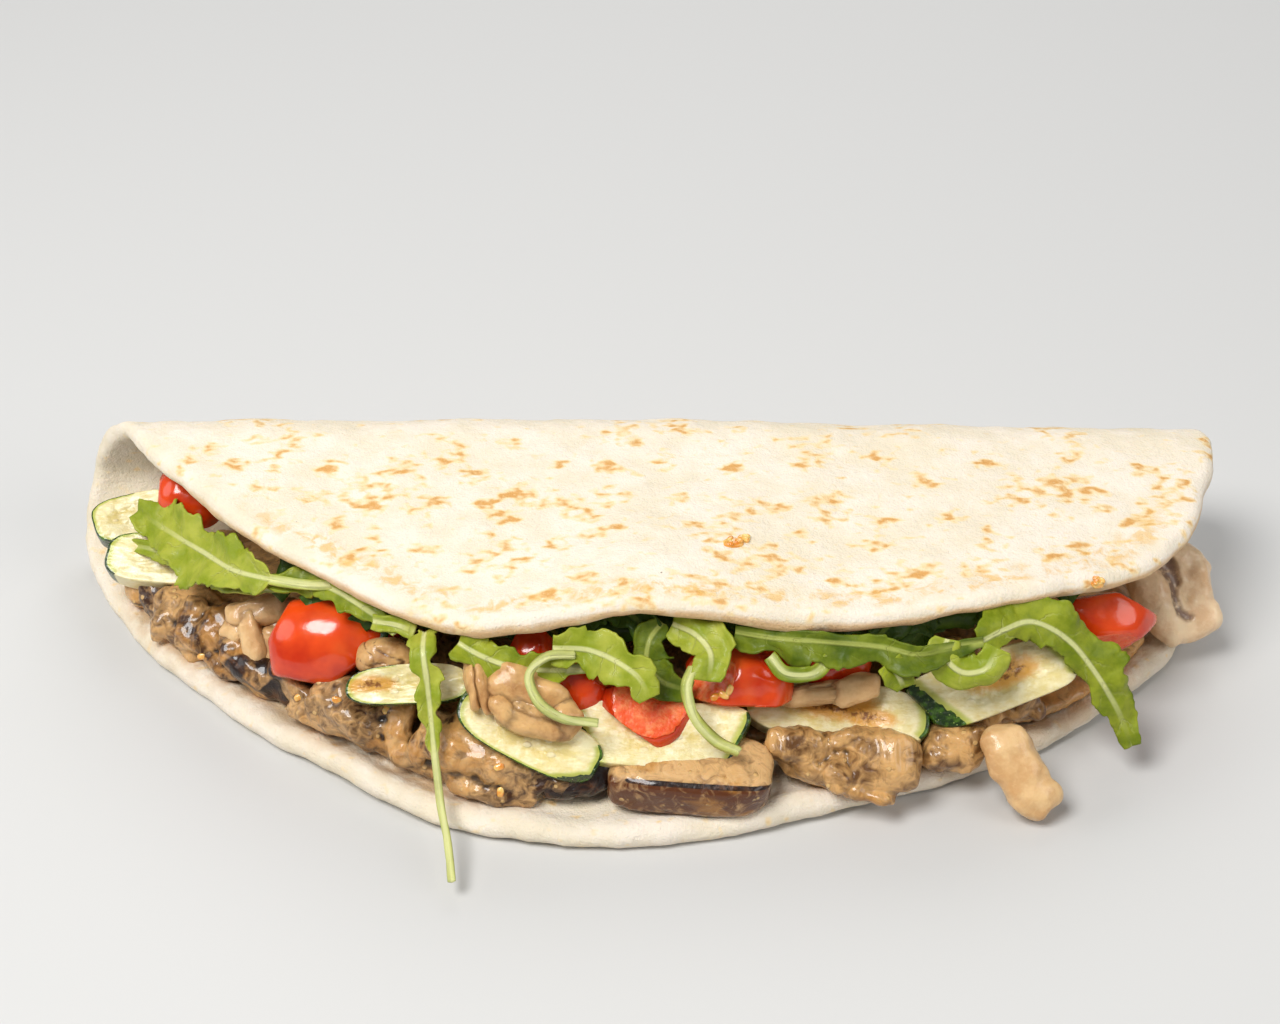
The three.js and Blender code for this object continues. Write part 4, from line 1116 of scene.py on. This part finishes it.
ZUCCHINI = {
    "zucchini_left_end": {
        "at": (-118, 35.5, 19.5), "size": (19, 11.5, 6), "turn": 15, "tilt": 30, "skin": [(80, 250)],
    },
    "zucchini_left": {
        "at": (-106.5, 21.5, 17.3), "size": (32, 12, 6.5), "turn": -5, "tilt": 32, "seed": 2,
        "skin": [(60, 225)], "char": [(0.5, 0.3, 0.5)],
    },
    "zucchini_tip": {
        "at": (-91, 1, 11), "size": (9, 10, 5), "turn": 40, "tilt": 60, "seed": 3, "skin": [(0, 360)],
        "band": (0, -1, 0.1),
    },
    "zucchini_under_dome": {
        "at": (-48.6, -29.5, 23.8), "size": (26, 8.5, 5.5), "turn": 3, "tilt": 45, "seed": 4,
        "skin": [(100, 350)], "char": [(-0.6, 0.1, 0.4)],
    },
    "zucchini_middle_left": {
        "at": (-22.8, -40, 19), "size": (32, 12, 6), "turn": -25, "tilt": 50, "seed": 5,
        "skin": [(150, 400)], "char": [(-0.1, 0.5, 0.3)], "band": (0.82, -0.57, 0.93),
    },
    "zucchini_middle": {
        "at": (3.5, -38.5, 17.5), "size": (36, 14, 5.5), "turn": -3, "tilt": 36, "lean": 0.3, "seed": 6,
        "skin": [(145, 215), (-40, 40)], "band": (-0.96, -0.28, 0.78), "blunt": 5,
    },
    "zucchini_right": {
        "at": (74.6, -25.5, 21), "size": (32.5, 13, 5.5), "turn": 20, "tilt": 45, "lean": -0.4, "seed": 8,
        "skin": [(140, 225), (-35, 35)], "char": [(0.2, 0.2, 0.5)], "band": (-0.995, -0.096, 0.74),
        "blunt": 5, "bevel": 0.25,
    },
    "zucchini_charred": {
        "at": (40.8, -28.5, 15.5), "size": (41, 14, 5), "turn": -7, "tilt": 32, "lean": -0.3, "seed": 7,
        "skin": [(150, 205), (-35, 30)], "char": [(0.0, 0.2, 0.5), (0.35, -0.1, 0.3)],
    },
}


def zucchini_slice(
    name, at, size, turn, tilt, skin, char=(), lean=0, seed=1, blunt=3, band=None, bevel=0.8,
):
    """A flat slice with an uneven face and a rounded rim; skin also covers what a cut past band leaves"""
    piece = started("uv_sphere", name, segments=120, ring_count=56, radius=1)
    angle, side, out, rim_turn = as_disc(piece, 0.3)
    rounding = 0.04
    spread = np.where(out <= 1, (1 - rounding) * out, 1 - rounding + rounding * np.sin(rim_turn) ** 0.5)
    level = np.cos(rim_turn) ** 0.6
    reach = (np.abs(np.cos(angle)) ** blunt + np.abs(np.sin(angle)) ** blunt) ** (-1 / blunt)
    grow = spread * reach * (1 + 0.03 * np.sin(3 * angle + seed))
    x, y = grow * np.cos(angle), grow * np.sin(angle)
    half = size[2] / 2
    own = np.stack([12 * x, 12 * y, 5 * side], axis=1)
    rough = 0.3 * grain(own, 5, seed) + 0.14 * grain(own, 1.8, seed + 1)
    hollow = -0.4 * (1 - smooth(spread, 0.3, 0.75))
    z = side * (half + rough + hollow) * level + 0.5 * spread * np.sin(2 * angle + seed)
    points = np.stack([size[0] / 2 * x + lean * size[1] / 2 * y, size[1] / 2 * y, z], axis=1)
    degrees = np.degrees(angle) % 360
    covered = np.zeros(len(x))
    for start, end in skin:
        middle, half_span = (start + end) / 2, (end - start) / 2
        gap = np.abs((degrees - middle + 180) % 360 - 180)
        covered = np.maximum(covered, 1 - smooth(gap, half_span - 6, half_span + 6))
    skinned = covered * smooth(spread, 0.945, 0.965)
    near = covered * smooth(spread, 0.78, 0.96)
    if band:
        past = x * band[0] + y * band[1] - band[2] + 0.02 * grain(own, 4, 2)
        skinned = np.maximum(skinned, smooth(past, 0, 0.03))
        near = np.maximum(near, smooth(past, -0.2, 0.02))
        points[:, 2] -= np.maximum(past, 0) * size[0] / 2 * bevel * (side > 0)
    put(piece, laid(points, placing(at, turn, tilt)))
    mark(piece, "skin", skinned)
    mark(piece, "near_skin", near)
    mark(piece, "middle", 1 - smooth(np.hypot(x, y), 0.35, 0.7))
    browned = np.zeros(len(x))
    for spot_x, spot_y, width in char:
        off_spot = ((x - spot_x) ** 2 + (y - spot_y) ** 2) / width**2
        browned = np.maximum(browned, np.exp(-off_spot))
    mark(piece, "char", browned * (side > 0))
    return piece


# Pieces of aubergine: one lump each, or slices grown together, as the mushrooms have them

AUBERGINES = {
    "aubergine_slice": {
        "at": (10.5, -42.8, 11), "size": (34, 17, 11), "turn": -5, "tilt": 8, "square": 0.85, "seed": 21,
        "uneven": 0.04,
    },
    "aubergine_folded": {
        "at": (43.9, -39.5, 11.5), "seed": 23,
        "slices": [
            ((0, 0, -2), (28, 13, 8), -3), ((-11, 3.2, 0), (15, 8, 8), -10),
            ((-8, -1.4, 0), (9.5, 5.5, 8), -35), ((-3, -3.4, 1.4), (8, 6.5, 9), -50),
            ((8, 0, 0.5), (15, 14, 11), 8), ((1.2, 4.6, -0.4), (14, 4.6, 8), 5),
            ((2.6, 0.6, 0.6), (13, 5, 9), 78), ((4, -6.6, 1), (12, 4.4, 8), -10),
        ],
    },
    "aubergine_chunk": {
        "at": (66.7, -34, 10.3), "seed": 25,
        "slices": [
            ((-0.3, 0.2, 0), (13, 10, 9), -8), ((-3.6, -2, 1), (6, 7, 8), 70), ((2.4, 2.4, 1), (9, 5, 7), 10),
        ],
    },
    "aubergine_curl": {
        "at": (80, -23, 14.5), "seed": 27,
        "slices": [
            ((-3.6, 1.6, 0), (7.5, 6, 7), 30), ((-0.4, 3, 0.5), (7.5, 5, 6), -10),
            ((3.2, 1.2, 0.5), (6.5, 5.5, 6), 40), ((4.2, -2.2, 0), (5.5, 4.6, 5), 0),
            ((0.2, -1.8, 1), (7.5, 5, 6), -30), ((-4.2, -2.8, 0), (8, 5, 5), 50),
        ],
    },
    "aubergine_peel": {"at": (-13, -42.5, 10), "size": (17, 8, 7), "turn": 12, "square": 0.5, "seed": 29},
}


def aubergine_ribs(name, at, seed, slices):
    """Aubergine that has folded and grown together, with soft ridges across"""
    piece = fused(joined(name, slabs(name, at, slices, seed, 0.35)), 0.42, 4)
    points, normals = points_of(piece), normals_of(piece)
    own = points - np.array(at)
    ridges = np.sin(2 * math.pi * own[:, 0] / 2.1 + 0.3 * (own @ UP_IN_VIEW) + 2.4 * grain(points, 9, seed))
    here = smooth(grain(points, 9, seed + 2), -0.25, 0.05)
    lift = 0.1 * ridges * here + 0.4 * grain(points, 5, seed + 3)
    put(piece, points + normals * lift[:, None])
    # Painted shade in the hollows between the folds
    mark(piece, "hollow", 0.9 * hollows(piece, 30, 0.5))
    mark(piece, "tint", 0.6 + 0.9 * grain(points, 6, seed + 5))
    mark(piece, "amber", smooth(-(own @ UP_IN_VIEW), 4.5, 7.5))
    mark(piece, "peel", np.zeros(len(points)))
    return piece


def aubergine_lump(name, seed, folds, fold_size, **shape):
    """A soft piece with creases; returns the angle round its length too, 0 at its front and 90 on top"""
    piece, own = lump(name, seed=seed, **shape)
    # Painted shade in the crease valleys
    mark(piece, "hollow", 0.35 * creased(piece, fold_size, folds, seed))
    mark(piece, "amber", smooth(grain(points_of(piece), 9, seed), 0.1, 0.3))
    return piece, own, np.degrees(np.arctan2(own[:, 2], -own[:, 1]))


def aubergine_slice(name, **shape):
    """The cut slice: a line of peel between its pale top and its brown front"""
    piece, own, angle = aubergine_lump(name, folds=0.35, fold_size=7, **shape)
    mark(piece, "peel", bell(angle, 45, 4.5) * smooth(own[:, 0], -0.85, -0.7))
    mark(piece, "tint", smooth(angle, 38, 56))
    return piece


def aubergine_peel(name, **shape):
    """A piece that is nearly all peel"""
    piece, own, _ = aubergine_lump(name, folds=0.6, fold_size=6, **shape)
    mark(piece, "peel", np.full(len(own), 0.75))
    mark(piece, "tint", np.full(len(own), 0.5))
    return piece


# Serving it all

# Clusters of seeds on the top flap: x, distance from the fold, how far sunk, and size
SEED_CLUSTERS = [
    (19.8, 42, 0.1, (4.6, 3.2, 2.2)), (22.2, 40.4, 0.1, (2.8, 2.4, 2)), (96.5, 50.4, 1.3, (3, 2.6, 1.8)),
]


def seeds_on_flap(finish):
    """Tomato seeds in their jelly, stuck to the top flap"""
    beads = []
    for k, (x, d, sunk, size) in enumerate(SEED_CLUSTERS):
        z = float(fold_height(x) + flap_rise(x, d)) - sunk
        beads.append(lump(f"seed_bead_{k}", (x, FOLD_Y - d, z), size, 15, 0, seed=x, uneven=0.15, fine=4)[0])
        for step in range(3):
            turn = 2.1 * step + k
            right, back = 0.26 * size[0] * math.cos(turn), 0.26 * size[1] * math.sin(turn)
            at = (x + right, FOLD_Y - d + back, z + 0.35 * size[2])
            beads.append(lump(f"seed_{k}_{step}", at, (1.9, 1.3, 1.1), 60 * step, 0, seed=step, fine=3)[0])
    return served(joined("seeds_on_flap", beads), finish, "tomato", "flatbread")


bread_look = bread_finish()
rocket_looks = {
    "bright": rocket_finish("rocket_bright", "#83921a", "#acb040", "#dcdb9c"),
    "mid": rocket_finish("rocket_mid", "#66770a", "#979f28", "#dcdc9c"),
    "dark": rocket_finish("rocket_dark", "#465a08", "#727f16", "#a8ae58"),
    # Darker copy of the rocket colours: painted shade for the heap under the flap
    "shade": rocket_finish("rocket_shade", "#2a440c", "#415c12", "#6c7f30"),
}
tomato_look = tomato_finish()
seed_look = seed_finish()
mushroom_look = mushroom_finish("cooked_mushroom", "#b07d4a", "#dcaf72", "#4a2810")
stem_look = mushroom_finish("mushroom_stem_flesh", "#cfa06a", "#e6c08a", "#7a4c26")
# Paler, pinker copy of the stem colours for the slice: its cut flesh's own tone, and painted light against
# the shade under the flap
cut_face_painted_light_look = mushroom_finish("mushroom_cut_face_painted_light", "#e0b98e", "#f2d6ae", "#7a5540")
zucchini_look = zucchini_finish()
stew_look = aubergine_finish("stewed_aubergine", "#40240f", "#d2a46a", "#cf9248")
fold_look = aubergine_finish("folded_aubergine", "#66421f", "#d4a568", "#cf9040")
slice_look = aubergine_finish("aubergine_flesh", "#5c3013", "#dbb078", "#c58a3c")

served(flatbread(), bread_look, "bread", "flatbread")
seeds_on_flap(seed_look)
aubergine_stew(stew_look, seed_look)
rocket_heap(rocket_looks["shade"])

for node, shape in LEAVES.items():
    look = rocket_looks[shape.pop("look")]
    served(leaf(f"{node}_leaf", **shape), look, "rocket", node)
for node, shape in TOMATOES.items():
    wedge = tomato_wedge(f"{node}_wedge", **shape)
    if node == "tomato_seeded":
        served(seed_drops("seeds_on_wedge", wedge, WEDGE_SEEDS), seed_look, "tomato", node)
    served(wedge, tomato_look, "tomato", node)
for node, shape in MUSHROOMS.items():
    make = mushroom_folded if "slices" in shape else mushroom_lump
    if node == "mushroom_stem":
        make = mushroom_stem
    look = stem_look if node in PALE_MUSHROOMS else mushroom_look
    served(make(f"{node}_piece", **shape), look, "mushroom", node)
served(mushroom_slice("mushroom_slice_piece"), cut_face_painted_light_look, "mushroom", "mushroom_slice")
for node, shape in ZUCCHINI.items():
    served(zucchini_slice(f"{node}_slice", **shape), zucchini_look, "zucchini", node)

for node, shape in AUBERGINES.items():
    make = {"aubergine_slice": aubergine_slice, "aubergine_peel": aubergine_peel}.get(node, aubergine_ribs)
    look = slice_look if node == "aubergine_slice" else fold_look
    served(make(f"{node}_piece", **shape), look, "aubergine", node)


# Floor, light and camera

# Each lamp: name, place in metres, size and power
LAMPS = [
    ("window", (-0.45, -0.5, 1.1), 0.6, 14.4), ("fill", (0.9, -0.6, 0.8), 0.8, 4.5),
    ("back", (0.1, 0.9, 0.9), 0.8, 5), ("left", (-1.0, -0.1, 0.5), 0.6, 1.8),
]
ROOM_COLOUR = (0.9, 0.93, 1.0, 1)
ROOM_LIGHT = 0.2
FLOOR_SIZE = 6
FLOOR_DROP = 0.0002


def floor_and_light():
    floor = started("plane", "floor", size=FLOOR_SIZE, location=(0, 0, -FLOOR_DROP))
    plain = Finish("plain_floor").coat(linear("#cfcecb"), 0.75)
    floor.data.materials.append(plain.material)
    for name, at, size, power in LAMPS:
        lamp = bpy.data.lights.new(name, "AREA")
        lamp.shape, lamp.size, lamp.energy = "DISK", size, power
        holder = bpy.data.objects.new(name, lamp)
        bpy.context.scene.collection.objects.link(holder)
        holder.location = at
        holder.rotation_euler = (-Vector(at)).to_track_quat("-Z", "Y").to_euler()
    world = bpy.data.worlds.new("pale_room")
    world.use_nodes = True
    background = world.node_tree.nodes["Background"].inputs
    background["Color"].default_value, background["Strength"].default_value = ROOM_COLOUR, ROOM_LIGHT
    bpy.context.scene.world = world
    bpy.context.scene.view_settings.view_transform = "Standard"


floor_and_light()

camera = bpy.data.objects.new("camera", bpy.data.cameras.new("camera"))
camera.data.lens = CAMERA_LENS
camera.data.sensor_width = CAMERA_SENSOR
camera.data.clip_start = 0.01
camera.location = (np.array(CAMERA_AT) - ORIGIN) * MM
camera.rotation_euler = Euler((math.radians(90 - CAMERA_DOWN), 0, 0))
bpy.context.scene.collection.objects.link(camera)
bpy.context.scene.camera = camera
